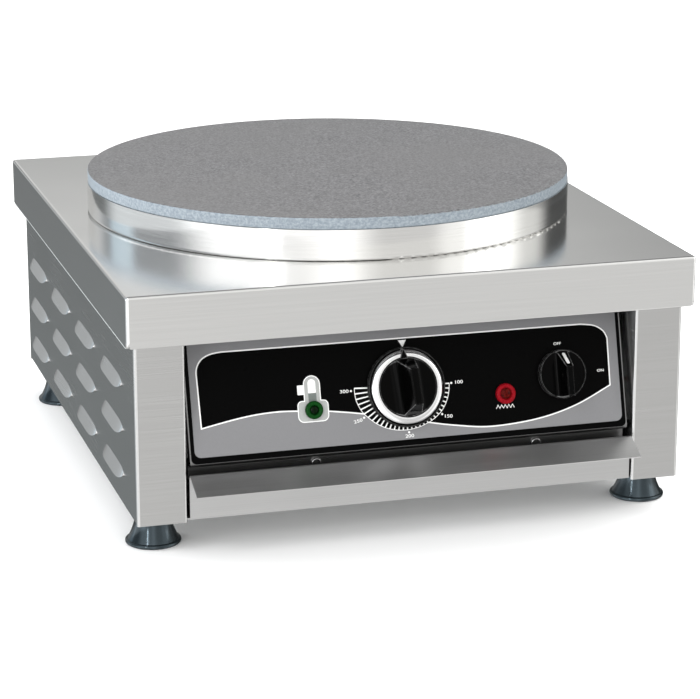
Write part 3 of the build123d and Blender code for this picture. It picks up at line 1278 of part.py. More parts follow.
def supply_wire():
    """From the terminal strip along the right side, lying on the base panel, up to the switch."""
    start = pole_front(BLOCK_POLES - 1)
    end, away = blade_tip(SWITCH_X, SWITCH_BODY, 1, -1)
    lead = end + away * WIRE_LEAD
    low = BASE_TOP + WIRE_RADIUS + WIRE_END_GAP
    turn_y = lead.Y + WIRE_LEAD
    return wire(
        start,
        (start.X, REAR_RUN_Y, start.Z),
        (HARNESS_X, REAR_RUN_Y, start.Z),
        (HARNESS_X, REAR_RUN_Y - 2 * WIRE_LEAD, low),
        (HARNESS_X, turn_y, low),
        (HARNESS_X, turn_y, lead.Z),
        lead,
        end,
    )


def switched_wire():
    """From the switch to the thermostat, in a hanging loop behind the fascia."""
    start, away = blade_tip(SWITCH_X, SWITCH_BODY, -1, 1)
    end, _ = blade_tip(THERMOSTAT_X, THERMOSTAT_BODY, 1, 1)
    return wire(start, start + away * WIRE_LEAD, end + away * WIRE_LEAD, end)


def heating_wire():
    """From the thermostat up to the outer element."""
    start, away = blade_tip(THERMOSTAT_X, THERMOSTAT_BODY, 1, -1)
    lead = start + away * 2 * WIRE_LEAD
    x, y = terminal_places()[1]
    return wire(
        start,
        lead,
        (lead.X, lead.Y + WIRE_LEAD, UPPER_RUN_Z),
        (x, lead.Y + 2 * WIRE_LEAD, UPPER_RUN_Z),
        (x, y, UPPER_RUN_Z),
        (x, y, TERMINAL_END - TERMINAL_LENGTH - WIRE_END_GAP),
    )


def neutral_wire():
    """From the terminal strip up behind the tray to the outer element."""
    start = pole_front(BLOCK_POLES - 2)
    x, y = terminal_places()[0]
    return wire(
        start,
        (start.X, REAR_RUN_Y, start.Z),
        (start.X, REAR_RUN_Y, UPPER_RUN_Z),
        (x, REAR_RUN_Y - 2 * WIRE_LEAD, UPPER_RUN_Z),
        (x, y, UPPER_RUN_Z),
        (x, y, TERMINAL_END - TERMINAL_LENGTH - WIRE_END_GAP),
    )


def earth_wire():
    """From the terminal strip along the rear to the bonding stud."""
    start = pole_front(0)
    stud_y = BACK - SHEET - BONDING_TAIL - WIRE_END_GAP
    return wire(
        start,
        (start.X, REAR_RUN_Y, start.Z),
        (BONDING_X, REAR_RUN_Y, start.Z),
        (BONDING_X, REAR_RUN_Y, REAR_FITTING_Z),
        (BONDING_X, stud_y, REAR_FITTING_Z),
    )


def internal_wires():
    """All the wires inside the housing."""
    return group([supply_wire(), switched_wire(), heating_wire(), neutral_wire(), earth_wire()])


LEFT_SIDE = side_panel()
NODES = {
    "top_cover": top_cover(),
    "collar_ring": collar_ring(),
    "weld_studs": weld_studs(),
    "weld_stud_nuts": weld_stud_nuts(),
    "cooking_plate": cooking_plate(),
    "outer_heating_element": heating_element(OUTER_LOOP_RADIUS),
    "inner_heating_element": heating_element(INNER_LOOP_RADIUS),
    "element_links": element_links(),
    "element_clamp_plate": element_clamp_plate(),
    "insulation_pad": insulation_pad(),
    "heat_shield": heat_shield(),
    "front_bridge_bar": bridge_bar(-STUD_OFFSET),
    "rear_bridge_bar": bridge_bar(STUD_OFFSET),
    "plate_studs": plate_studs(),
    "plate_nuts": plate_nuts(),
    "left_side_panel": LEFT_SIDE,
    "right_side_panel": mirror(LEFT_SIDE, about=Plane.YZ),
    "back_panel": back_panel(),
    "base_panel": base_panel(),
    "control_fascia": control_fascia(),
    "fascia_overlay": fascia_overlay(),
    "cross_rail": cross_rail(),
    "rail_screws": rail_screws(),
    "thermostat_body": control_body(THERMOSTAT_X, THERMOSTAT_BODY, 2),
    "thermostat_nut": bush_nut(THERMOSTAT_X),
    "thermostat_shaft": knob_shaft(THERMOSTAT_X, THERMOSTAT_REST_TURN),
    "thermostat_knob": thermostat_knob(),
    "thermostat_trim_ring": thermostat_trim_ring(),
    "thermostat_bulb": thermostat_bulb(),
    "bulb_clips": bulb_clips(),
    "power_switch_body": control_body(SWITCH_X, SWITCH_BODY, 2),
    "power_switch_nut": bush_nut(SWITCH_X),
    "power_shaft": knob_shaft(SWITCH_X, 0),
    "power_knob": power_knob(),
    "power_knob_marker": power_knob_marker(),
    "red_lamp_lens": lamp_lens(RED_LAMP_X, LENS_RADIUS),
    "red_lamp_body": lamp_body(RED_LAMP_X),
    "green_lamp_lens": lamp_lens(GREEN_LAMP_X, GREEN_LENS_RADIUS),
    "green_lamp_body": lamp_body(GREEN_LAMP_X),
    "drip_tray": drip_tray(),
    "left_tray_runner": tray_runner(),
    "right_tray_runner": mirror(tray_runner(), about=Plane.YZ),
    "runner_screws": runner_screws(),
    "foot_bolts": foot_bolts(),
    "foot_nuts": foot_nuts(),
    "back_panel_screws": back_panel_screws(),
    "cable_gland": cable_gland(),
    "gland_locknut": gland_locknut(),
    "bonding_stud": bonding_stud(),
    "bonding_nuts": bonding_nuts(),
    "terminal_block": terminal_block(),
    "terminal_screws": terminal_screws(),
    "internal_wires": internal_wires(),
}
NODES.update({name: foot(x, y) for name, (x, y) in FEET.items()})

# The origin is the centre of the footprint of the whole appliance, on the worktop.
whole = group(NODES.values()).bounding_box()
TO_ORIGIN = Pos(0, -(whole.min.Y + whole.max.Y) / 2, 0)

os.makedirs("parts", exist_ok=True)
for node_name, node_shape in NODES.items():
    placed = [TO_ORIGIN * solid for solid in node_shape.solids()]
    export_step(Compound(placed) if len(placed) > 1 else placed[0], f"parts/{node_name}.step")
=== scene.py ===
import bpy
import bmesh
import json
import math
from mathutils import Matrix, Vector


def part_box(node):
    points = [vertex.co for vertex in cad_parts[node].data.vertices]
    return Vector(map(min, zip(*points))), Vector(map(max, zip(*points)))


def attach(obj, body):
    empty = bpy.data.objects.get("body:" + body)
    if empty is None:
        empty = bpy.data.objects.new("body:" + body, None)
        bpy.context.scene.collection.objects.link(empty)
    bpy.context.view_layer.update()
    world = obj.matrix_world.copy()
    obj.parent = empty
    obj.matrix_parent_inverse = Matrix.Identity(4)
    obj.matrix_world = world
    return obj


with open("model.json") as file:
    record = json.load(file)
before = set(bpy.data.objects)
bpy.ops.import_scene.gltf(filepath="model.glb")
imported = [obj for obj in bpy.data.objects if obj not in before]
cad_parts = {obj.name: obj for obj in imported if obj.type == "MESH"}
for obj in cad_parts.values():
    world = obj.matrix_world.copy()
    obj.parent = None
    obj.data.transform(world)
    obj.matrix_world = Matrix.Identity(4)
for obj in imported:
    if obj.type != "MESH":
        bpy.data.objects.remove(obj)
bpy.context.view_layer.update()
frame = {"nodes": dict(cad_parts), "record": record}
nodes = frame["nodes"]

MM = 0.001
PLATE_Y = 7.7114  # the plate's axis stands this far behind the frame's origin, mm

# ------------------------------------------------------------------ the control panel's plane
# X runs to the right, Y up the slope and Z out of the face. Places on the panel are in mm.
TILT = math.radians(15.7)
PANEL_Y = -241.903 + PLATE_Y
PANEL_Z = 73.861
PANEL = Matrix((
    (1, 0, 0, 0),
    (0, math.sin(TILT), -math.cos(TILT), PANEL_Y * MM),
    (0, math.cos(TILT), math.sin(TILT), PANEL_Z * MM),
    (0, 0, 0, 1),
))
DIAL = (-3.3, 40.5)
RED_LAMP = (76.9, 28.8)
GREEN_LAMP = (-77.3, 28.8)

# foot and top of each layer of print over the fascia; a foot is sunk a little into what is below
FILM = 0.5  # face of the film that carries the print
GREY_LAYER = (FILM - 0.02, FILM + 0.06)
FIELD_LAYER = (FILM + 0.05, FILM + 0.10)
FIELD_LINE_LAYER = (FILM + 0.05, FILM + 0.13)
SHAPE_LAYER = (FILM + 0.09, FILM + 0.15)
FLAG_LAYER = (FILM + 0.09, FILM + 0.16)
MARK_LAYER = (FILM + 0.09, FILM + 0.17)
LINE_LAYER = (FILM + 0.09, FILM + 0.18)
SCALE_LINE_LAYER = (FILM + 0.10, FILM + 0.18)
TICK_LAYER = (FILM + 0.10, FILM + 0.19)
BLOCK_LAYER = (FILM + 0.14, FILM + 0.19)
WORD_LEVEL = FILM + 0.14


# ------------------------------------------------------------------ materials
class Nodes:
    """The node tree of a material or world, emptied, with short calls that add to it."""

    def __init__(self, owner):
        owner.use_nodes = True
        self.tree = owner.node_tree
        self.tree.nodes.clear()

    def add(self, kind, **props):
        node = self.tree.nodes.new(kind)
        for key, value in props.items():
            setattr(node, key, value)
        return node

    def link(self, value, socket):
        self.tree.links.new(value, socket)

    def math(self, op, *values):
        node = self.add("ShaderNodeMath", operation=op)
        for socket, value in zip(node.inputs, values):
            if isinstance(value, (int, float)):
                socket.default_value = value
            else:
                self.link(value, socket)
        return node.outputs[0]

    def span(self, value, low, high, start=0.3, end=0.7, **props):
        """Low at start, high at end. Most of a noise's values lie between the usual start and end."""
        node = self.add("ShaderNodeMapRange", **props)
        node.inputs["From Min"].default_value = start
        node.inputs["From Max"].default_value = end
        node.inputs["To Min"].default_value = low
        node.inputs["To Max"].default_value = high
        self.link(value, node.inputs["Value"])
        return node.outputs[0]


class Mat(Nodes):
    """A node material on one Principled shader, textured in the piece's own coordinates."""

    def __init__(self, name, color, roughness, metallic=0.0, **sockets):
        self.mat = bpy.data.materials.new(name)
        super().__init__(self.mat)
        out = self.add("ShaderNodeOutputMaterial")
        self.bsdf = self.add("ShaderNodeBsdfPrincipled")
        self.link(self.bsdf.outputs[0], out.inputs["Surface"])
        self.bsdf.inputs["Base Color"].default_value = (*color, 1)
        self.bsdf.inputs["Roughness"].default_value = roughness
        self.bsdf.inputs["Metallic"].default_value = metallic
        for key, value in sockets.items():
            self.bsdf.inputs[key.replace("_", " ")].default_value = value

    def place(self, scale=(1, 1, 1)):
        coord = self.add("ShaderNodeTexCoord")
        mapping = self.add("ShaderNodeMapping")
        mapping.inputs["Scale"].default_value = scale
        self.link(coord.outputs["Object"], mapping.inputs["Vector"])
        return mapping.outputs[0]

    def round_place(self, around, up):
        """Coordinates for grain that runs round the plate's axis, scaled round it and up or out from it."""
        xyz = self.add("ShaderNodeSeparateXYZ")
        self.link(self.place(), xyz.inputs[0])
        x = xyz.outputs["X"]
        y = self.math("SUBTRACT", xyz.outputs["Y"], PLATE_Y * MM)
        turn = self.math("ARCTAN2", y, x)
        squares = self.math("ADD", self.math("MULTIPLY", y, y), self.math("MULTIPLY", x, x))
        radius = self.math("SQRT", squares)
        out = self.add("ShaderNodeCombineXYZ")
        self.link(self.math("MULTIPLY", turn, around), out.inputs[0])
        self.link(self.math("MULTIPLY", radius, up), out.inputs[1])
        self.link(self.math("MULTIPLY", xyz.outputs["Z"], up), out.inputs[2])
        return out.outputs[0]

    def facing(self):
        """X, Y and Z of the surface's normal."""
        geo = self.add("ShaderNodeNewGeometry")
        axes = self.add("ShaderNodeSeparateXYZ")
        self.link(geo.outputs["Normal"], axes.inputs[0])
        return axes.outputs

    def noise(self, scale, detail=2.0, vector=None, roughness=0.5):
        node = self.add("ShaderNodeTexNoise")
        node.inputs["Scale"].default_value = scale
        node.inputs["Detail"].default_value = detail
        node.inputs["Roughness"].default_value = roughness
        self.link(vector if vector is not None else self.place(), node.inputs["Vector"])
        return node.outputs["Fac"]

    def blend(self, factor, a, b):
        node = self.add("ShaderNodeMix", data_type="RGBA")
        self.link(factor, node.inputs[0])
        for socket, value in ((node.inputs[6], a), (node.inputs[7], b)):
            if isinstance(value, tuple):
                socket.default_value = (*value, 1)
            else:
                self.link(value, socket)
        return node.outputs[2]

    def color(self, value):
        self.link(value, self.bsdf.inputs["Base Color"])

    def roughness(self, value):
        self.link(value, self.bsdf.inputs["Roughness"])

    def bump(self, value, strength, distance=0.00005):
        node = self.add("ShaderNodeBump")
        node.inputs["Strength"].default_value = strength
        node.inputs["Distance"].default_value = distance
        self.link(value, node.inputs["Height"])
        self.link(node.outputs[0], self.bsdf.inputs["Normal"])


def scaled(color, factor):
    """The colour times the factor, no brighter than white."""
    return tuple(min(1.0, c * factor) for c in color)


BRUSH_ALONG, BRUSH_ACROSS = 2.0, 260.0  # fineness of the brushing's noise along and across it
SIDEWAYS = 0.7  # from this X of the normal on, a face looks sideways
STREAK_GLOSS, BLOTCH_GLOSS = 0.03, 0.02  # what the brushing and the blotches change the roughness by
STEEL_RELIEF_DEPTH = 0.00004  # m
CLOUD_SIZE = 12  # width of a cloud in the gloss, in grains
CLOUD_GLOSS = 0.1  # what a cloud changes the roughness by, as a share of it


def steel(name, shade, rough, spread=0.03, tint=(1.0, 1.0, 1.0), relief=0.03):
    """Satin stainless steel, finely brushed, with faint large blotches in the gloss.

    The brushing runs along X, and along Y on the faces that look sideways.
    """
    base = tuple(shade * t for t in tint)
    m = Mat(name, base, rough, 1.0)
    along_x = m.noise(scale=5.0, detail=3.0, vector=m.place((BRUSH_ALONG, BRUSH_ACROSS, BRUSH_ACROSS)))
    along_y = m.noise(scale=5.0, detail=3.0, vector=m.place((BRUSH_ACROSS, BRUSH_ALONG, BRUSH_ACROSS)))
    sideways = m.math("GREATER_THAN", m.math("ABSOLUTE", m.facing()["X"]), SIDEWAYS)
    pick = m.add("ShaderNodeMix", data_type="FLOAT")
    m.link(sideways, pick.inputs[0])
    m.link(along_x, pick.inputs[2])
    m.link(along_y, pick.inputs[3])
    streak = pick.outputs[0]
    blotch = m.noise(scale=9.0)
    m.color(m.blend(m.span(streak, 0, 1), scaled(base, 1 - spread), scaled(base, 1 + spread)))
    m.roughness(m.math("ADD", m.span(streak, rough - STREAK_GLOSS, rough + STREAK_GLOSS),
                       m.span(blotch, -BLOTCH_GLOSS, BLOTCH_GLOSS)))
    m.bump(streak, relief, STEEL_RELIEF_DEPTH)
    return m.mat


def plain(name, color, roughness, metallic=0.0, mottle=0.06, scale=500.0, bump=0.02, **sockets):
    """Moulded, printed or plated finish: faint mottling of colour and gloss with a fine bump."""
    m = Mat(name, color, roughness, metallic, **sockets)
    grain = m.noise(scale, detail=3.0)
    cloud = m.noise(scale / CLOUD_SIZE)
    m.color(m.blend(m.span(grain, 0, 1), scaled(color, 1 - mottle), scaled(color, 1 + mottle)))
    m.roughness(m.span(cloud, roughness * (1 - CLOUD_GLOSS), min(1.0, roughness * (1 + CLOUD_GLOSS))))
    m.bump(grain, bump)
    return m.mat


def plate_material():
    """Cast plate: ground top, mottled warm grey with faint turning rings, and a machined bluish rim."""
    pit, crest = (0.048, 0.048, 0.050), (0.205, 0.204, 0.208)
    patch, ring = (0.136, 0.134, 0.133), (0.116, 0.117, 0.122)
    rim_pit, rim_crest = (0.21, 0.25, 0.285), (0.34, 0.385, 0.425)
    rim_metallic, rim_rough, top_rough = 0.15, 0.38, 0.50
    m = Mat("plate_cast_iron", (0.17, 0.165, 0.165), 0.6, 0.0, Specular_IOR_Level=0.4)
    fine = m.noise(scale=520.0, detail=3.0, roughness=0.7)
    medium = m.noise(scale=5.0, detail=4.0, vector=m.place((60.0, 110.0, 110.0)), roughness=0.65)
    wide = m.noise(scale=11.0, detail=3.0)
    rings = m.noise(scale=4.0, detail=3.0, vector=m.round_place(around=2.0, up=240.0))
    speck = m.math("ADD", m.math("MULTIPLY", fine, 0.5), m.math("MULTIPLY", medium, 0.5))
    top = m.blend(m.span(speck, 0, 1, start=0.41, end=0.59), pit, crest)
    top = m.blend(m.span(wide, 0, 0.45), top, patch)
    top = m.blend(m.span(rings, 0, 0.3), top, ring)
    rim = m.blend(m.span(speck, 0, 1, start=0.4, end=0.6), rim_pit, rim_crest)
    flat = m.span(m.facing()["Z"], 0, 1, start=0.4, end=0.8)
    m.color(m.blend(flat, rim, top))
    m.link(m.span(flat, rim_metallic, 0.0, start=0.0, end=1.0), m.bsdf.inputs["Metallic"])
    gloss = m.span(medium, 0.0, 0.12)
    m.roughness(m.math("ADD", gloss, m.span(flat, rim_rough, top_rough, start=0.0, end=1.0)))
    m.bump(speck, strength=0.25, distance=0.00010)
    return m.mat


def collar_material():
    """Rolled band, polished along its length."""
    dark, light = (0.77, 0.765, 0.75), (0.84, 0.835, 0.825)
    m = Mat("collar_polished_steel", (0.80, 0.795, 0.78), 0.14, 1.0)
    streak = m.noise(scale=4.0, detail=3.0, vector=m.round_place(around=1.2, up=900.0))
    m.color(m.blend(m.span(streak, 0, 1), dark, light))
    m.roughness(m.span(streak, 0.10, 0.16))
    m.bump(streak, strength=0.05, distance=STEEL_RELIEF_DEPTH)
    return m.mat


def knob_material():
    """Gloss black moulding with pale grey painted along its edges as painted highlights."""
    black, painted_highlight_grey = (0.0010, 0.0010, 0.0010), (0.20, 0.20, 0.20)
    edge_width = 0.0016  # m
    m = Mat("knob_gloss_black", (0.002, 0.002, 0.002), 0.1, 0.0, Specular_IOR_Level=0.04)
    soft = m.add("ShaderNodeBevel", samples=8)
    soft.inputs["Radius"].default_value = edge_width
    geo = m.add("ShaderNodeNewGeometry")
    near = m.add("ShaderNodeVectorMath", operation="DOT_PRODUCT")
    m.link(soft.outputs[0], near.inputs[0])
    m.link(geo.outputs["Normal"], near.inputs[1])
    edge = m.span(m.math("SUBTRACT", 1.0, near.outputs["Value"]), 0, 1, start=0.02, end=0.14)
    patchy = m.span(m.noise(scale=260.0, detail=3.0), 0.25, 1.0, start=0.35, end=0.65)
    # painted highlight: the edge mask, patchy along the edges, blends the black towards pale grey
    m.color(m.blend(m.math("MULTIPLY", edge, patchy), black, painted_highlight_grey))
    m.roughness(m.span(m.noise(scale=75.0), 0.08, 0.12))
    m.bump(m.noise(scale=900.0, detail=3.0), strength=0.01)
    return m.mat


def lens_material(name, centre, bead, deep, bright):
    """Coloured moulding: bright ring round a deeper bead of this radius, flecked by the lamp behind."""
    blur = 0.5  # half width of the step between ring and bead, mm
    m = Mat(name, bright, 0.08, 0.0, Specular_IOR_Level=0.07)
    coord = m.add("ShaderNodeTexCoord")
    local = m.add("ShaderNodeMapping", vector_type="TEXTURE")
    local.inputs["Location"].default_value = PANEL @ Vector((centre[0] * MM, centre[1] * MM, 0))
    local.inputs["Rotation"].default_value = (math.pi / 2 - TILT, 0, 0)
    m.link(coord.outputs["Object"], local.inputs["Vector"])
    flat = m.add("ShaderNodeVectorMath", operation="MULTIPLY")
    flat.inputs[1].default_value = (1, 1, 0)
    m.link(local.outputs[0], flat.inputs[0])
    far = m.add("ShaderNodeVectorMath", operation="LENGTH")
    m.link(flat.outputs[0], far.inputs[0])
    distance = far.outputs["Value"]
    fleck = m.noise(scale=900.0)
    ring = m.blend(m.span(fleck, 0, 1), scaled(bright, 0.6), bright)
    middle = m.blend(m.span(fleck, 0, 1, start=0.4, end=0.62), scaled(deep, 0.35), deep)
    outside = m.span(distance, 0, 1, start=(bead - blur) * MM, end=(bead + blur) * MM)
    m.color(m.blend(outside, middle, ring))
    m.bump(fleck, strength=0.04, distance=0.00008)
    return m.mat


STEEL_TINT = (1.0, 0.998, 0.99)
STEEL_COVER = steel("cover_brushed_steel", 0.80, 0.16, spread=0.02, tint=STEEL_TINT, relief=0.012)
STEEL_BODY = steel("housing_brushed_steel", 0.60, 0.24, spread=0.025, tint=STEEL_TINT, relief=0.02)
STEEL_TRAY = steel("tray_brushed_steel", 0.60, 0.34)
SHEET_EDGE = plain("cut_sheet_edge", (0.42, 0.44, 0.44), 0.5, 0.2, mottle=0.25, scale=700, bump=0.05)
STEEL_ZINC = plain("zinc_plated_steel", (0.62, 0.62, 0.60), 0.35, 1.0, mottle=0.08)
STEEL_DARK = plain("annealed_sheath", (0.16, 0.155, 0.14), 0.5, 1.0, mottle=0.15, scale=300)
BLACK_KNOB = knob_material()
BLACK_FILM = plain("film_gloss_black", (0.0015, 0.0015, 0.0015), 0.3, mottle=0.1, scale=700, bump=0.01,
                   Specular_IOR_Level=0.02)
GREY_FILM = plain("film_print_grey", (0.190, 0.190, 0.196), 0.45, mottle=0.02, scale=900, bump=0.01,
                  Specular_IOR_Level=0.2)
WHITE_PRINT = plain("print_white", (0.80, 0.80, 0.79), 0.45, mottle=0.03, scale=900, bump=0.01)
SILVER_PRINT = plain("print_silver", (0.34, 0.35, 0.34), 0.4, mottle=0.05, scale=900, bump=0.01)
SHADE_PRINT = plain("print_shade", (0.125, 0.145, 0.135), 0.4, mottle=0.05, scale=900, bump=0.01)
CHROME = plain("trim_bright", (0.82, 0.82, 0.83), 0.14, 1.0, mottle=0.03, scale=800, bump=0.01)
# the bluish specular tint gives the feet's reflections a painted bluish reflection colour
RUBBER = plain("foot_black_green", (0.003, 0.005, 0.006), 0.16, mottle=0.25, scale=350, bump=0.04,
               Specular_IOR_Level=0.8, Specular_Tint=(0.70, 0.88, 1.0, 1.0))
PLATE = plate_material()
COLLAR = collar_material()
RED_LENS = lens_material("lens_red", RED_LAMP, 4.4, (0.10, 0.003, 0.0015), (0.27, 0.004, 0.010))
GREEN_LENS = lens_material("lens_green", GREEN_LAMP, 3.4, (0.0010, 0.010, 0.0012), (0.003, 0.050, 0.006))
# near-black, nearly unreflecting finish for the cross rail in the slot under the fascia: painted shade
RAIL_PAINTED_SHADE_BLACK = plain("rail_painted_shade_black", (0.004, 0.004, 0.004), 0.45, mottle=0.2, scale=400, bump=0.05,
                   Specular_IOR_Level=0.03)
# darker copy of the housing steel for the control fascia: painted shade and painted dark reflection on its
# bottom fold
FASCIA_PAINTED_SHADE_STEEL = steel("fascia_steel_painted_shade", 0.24, 0.3)
SCREW_STEEL = plain("screw_bright", (0.34, 0.34, 0.34), 0.25, 1.0, mottle=0.2, scale=600)
BLACK_PLASTIC = plain("moulded_black", (0.02, 0.02, 0.02), 0.5, mottle=0.2, scale=400, bump=0.05)
PHENOLIC = plain("moulded_phenolic", (0.06, 0.035, 0.022), 0.45, mottle=0.3, scale=500, bump=0.05)
CREAM = plain("moulded_cream", (0.62, 0.60, 0.52), 0.5, mottle=0.06, scale=400, bump=0.04)
BRASS = plain("brass", (0.72, 0.56, 0.26), 0.3, 1.0, mottle=0.08)
COPPER = plain("copper_tube", (0.70, 0.38, 0.24), 0.35, 1.0, mottle=0.12)
SILICONE = plain("wire_silicone", (0.30, 0.05, 0.03), 0.5, mottle=0.1)
FIBRE = plain("mineral_fibre", (0.66, 0.63, 0.52), 0.95, mottle=0.3, scale=250, bump=0.6)

BY_SLOT = {
    "cover_steel": STEEL_COVER, "rail_black": RAIL_PAINTED_SHADE_BLACK, "collar_steel": COLLAR, "plate_iron": PLATE,
    "housing_steel": STEEL_BODY, "tray_steel": STEEL_TRAY, "overlay_print": BLACK_FILM,
    "knob_black": BLACK_KNOB, "trim_bright": CHROME, "marker_white": WHITE_PRINT, "lens_red": RED_LENS,
    "lens_green": GREEN_LENS, "lamp_black": BLACK_PLASTIC, "control_plastic": PHENOLIC,
    "foot_rubber": RUBBER, "zinc_steel": STEEL_ZINC, "element_sheath": STEEL_DARK, "mineral_fibre": FIBRE,
    "bulb_copper": COPPER, "gland_plastic": BLACK_PLASTIC, "terminal_plastic": CREAM,
    "brass_screw": BRASS, "wire_insulation": SILICONE,
}
# the control fascia gets the darker steel of painted shade
BY_NODE = {"control_fascia": FASCIA_PAINTED_SHADE_STEEL, "rail_screws": SCREW_STEEL}
for part in frame["record"]["subparts"]:
    piece = nodes[part["node"]]
    piece.data.materials.clear()
    piece.data.materials.append(BY_NODE.get(part["node"], BY_SLOT[part["material_slot"]]))


# ------------------------------------------------------------------ mesh tools
def new_object(name, data):
    """New object with this data, in the scene."""
    obj = bpy.data.objects.new(name, data)
    bpy.context.scene.collection.objects.link(obj)
    return obj


def finish_piece(name, bm, material, body="housing", matrix=PANEL, smooth=False):
    """Turns a bmesh in metres into a piece that rides on a body."""
    bmesh.ops.recalc_face_normals(bm, faces=bm.faces[:])
    mesh = bpy.data.meshes.new(name)
    bm.to_mesh(mesh)
    bm.free()
    mesh.materials.append(material)
    for face in mesh.polygons:
        face.use_smooth = smooth
    obj = new_object(name, mesh)
    obj.matrix_world = matrix
    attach(obj, body)


def join_rings(bm, rings, closed=False):
    """Walls between rings of points, and a cap at each end unless the last ring joins the first."""
    following = rings[1:] + rings[:1] if closed else rings[1:]
    for one, two in zip(rings, following):
        for a, b, c, d in zip(one, one[1:] + one[:1], two[1:] + two[:1], two):
            bm.faces.new((a, b, c, d))
    if not closed:
        bm.faces.new(rings[0])
        bm.faces.new(list(reversed(rings[-1])))


def prism(bm, outline, layer):
    """Closed prism over an outline, from the layer's foot to its top."""
    foot, top = layer
    lower = [bm.verts.new((x * MM, y * MM, foot * MM)) for x, y in outline]
    upper = [bm.verts.new((x * MM, y * MM, top * MM)) for x, y in outline]
    count = len(outline)
    bm.faces.new(upper)
    bm.faces.new(list(reversed(lower)))
    for i in range(count):
        j = (i + 1) % count
        bm.faces.new((lower[i], lower[j], upper[j], upper[i]))


MITRE_LIMIT = 0.4  # least cosine of half a corner's turn, so that a sharp corner isn't drawn out far


def stroke(bm, points, width, layer, closed=False):
    """Band of constant width along a line, with mitred corners."""
    foot, top = layer
    count = len(points)
    rings = []
    for i, point in enumerate(points):
        here = Vector(point)
        ways = []
        if closed or i:
            ways.append((here - Vector(points[i - 1])).normalized())
        if closed or i < count - 1:
            ways.append((Vector(points[(i + 1) % count]) - here).normalized())
        way = sum(ways, Vector((0, 0))).normalized()
        side = Vector((-way.y, way.x))
        stretch = 1 / max(MITRE_LIMIT, side.dot(Vector((-ways[0].y, ways[0].x))))
        left = here + side * width / 2 * stretch
        right = here - side * width / 2 * stretch
        ring = ((left, top), (right, top), (right, foot), (left, foot))
        rings.append([bm.verts.new((p.x * MM, p.y * MM, z * MM)) for p, z in ring])
    join_rings(bm, rings, closed)


def curve_through(points, steps=8):
    """Catmull-Rom line through points."""
    line = []
    pts = [points[0]] + list(points) + [points[-1]]
    for i in range(1, len(pts) - 2):
        p0, p1, p2, p3 = (Vector(p) for p in pts[i - 1:i + 3])
        for k in range(steps):
            t = k / steps
            line.append(0.5 * ((2 * p1) + (p2 - p0) * t + (2 * p0 - 5 * p1 + 4 * p2 - p3) * t * t
                               + (3 * p1 - p0 - 3 * p2 + p3) * t * t * t))
    line.append(Vector(points[-1]))
    return [tuple(p) for p in line]


def arc(centre, radius, start, end, steps):
    """Points along an arc, from start to end in degrees."""
    return [(centre[0] + radius * math.cos(math.radians(start + (end - start) * i / steps)),
             centre[1] + radius * math.sin(math.radians(start + (end - start) * i / steps)))
            for i in range(steps + 1)]


def rounded(x_low, x_high, y_low, y_high, radii):
    """Rectangle with its own corner radius at low left, low right, high right, high left."""
    corners = ((x_low, y_low, 180), (x_high, y_low, 270), (x_high, y_high, 0), (x_low, y_high, 90))
    line = []
    for (x, y, start), r in zip(corners, radii):
        if not r:
            line.append((x, y))
            continue
        cx = x + (r if x == x_low else -r)
        cy = y + (r if y == y_low else -r)
        line += arc((cx, cy), r, start, start + 90, 8)
    return line


# ------------------------------------------------------------------ rolled edges under the cover's skirt
EDGE_RADIUS, EDGE_TIP_RADIUS = 0.00062, 0.0003  # m, like the next three
EDGE_START, EDGE_FULL = 0.006, 0.0065           # from the skirt's corner to the tip and to the full radius
EDGE_LIFT = 0.0001                              # of the edge's centre over the skirt's foot
EDGE_SIDES = 12


def skirt_edge(name, face, inward):
    """Thin bar along one side of the skirt's foot, with tapered ends."""
    bm = bmesh.new()
    turns = [2 * math.pi * i / EDGE_SIDES for i in range(EDGE_SIDES)]
    rings = []
    for y, radius in ((cover_low.y + EDGE_START, EDGE_TIP_RADIUS), (cover_low.y + EDGE_FULL, EDGE_RADIUS),
                      (cover_high.y - EDGE_FULL, EDGE_RADIUS), (cover_high.y - EDGE_START, EDGE_TIP_RADIUS)):
        centre = Vector((face + inward * EDGE_RADIUS, y, cover_low.z + EDGE_LIFT))
        rings.append([bm.verts.new(centre + radius * Vector((math.cos(a), 0, math.sin(a)))) for a in turns])
    join_rings(bm, rings)
    finish_piece(name, bm, SHEET_EDGE, matrix=Matrix.Identity(4), smooth=True)


cover_low, cover_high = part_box("top_cover")
skirt_edge("skirt_edge_left", cover_low.x, 1)
skirt_edge("skirt_edge_right", cover_high.x, -1)

# ------------------------------------------------------------------ label: grey print and black field
LABEL_HALF, LABEL_HEIGHT, LABEL_CORNER = 172.2, 99.0, 5
WAVE = [(-165.6, 21.8), (-134, 27.5), (-110, 29.6), (-89, 28.9), (-66, 26.9), (-39.4, 22.8), (-13, 17.6),
        (13.5, 11.7), (36.7, 7.4), (64, 4.4), (102, 7.2), (134.5, 15.3), (164.1, 28.6)]
RIGHT_SIDE = (164.4, 62.0)
RIGHT_CORNER = [(164.4, 65.9), (161.2, 71.8), (154.0, 76.2), (143.3, 78.0)]
LEFT_CORNER = [(-146.0, 78.4), (-155.0, 77.2), (-162.3, 73.4), (-166.2, 66.5), (-166.4, 58.0)]
CORNER_STEPS = 5
FIELD_LINE_WIDTH = 1.0


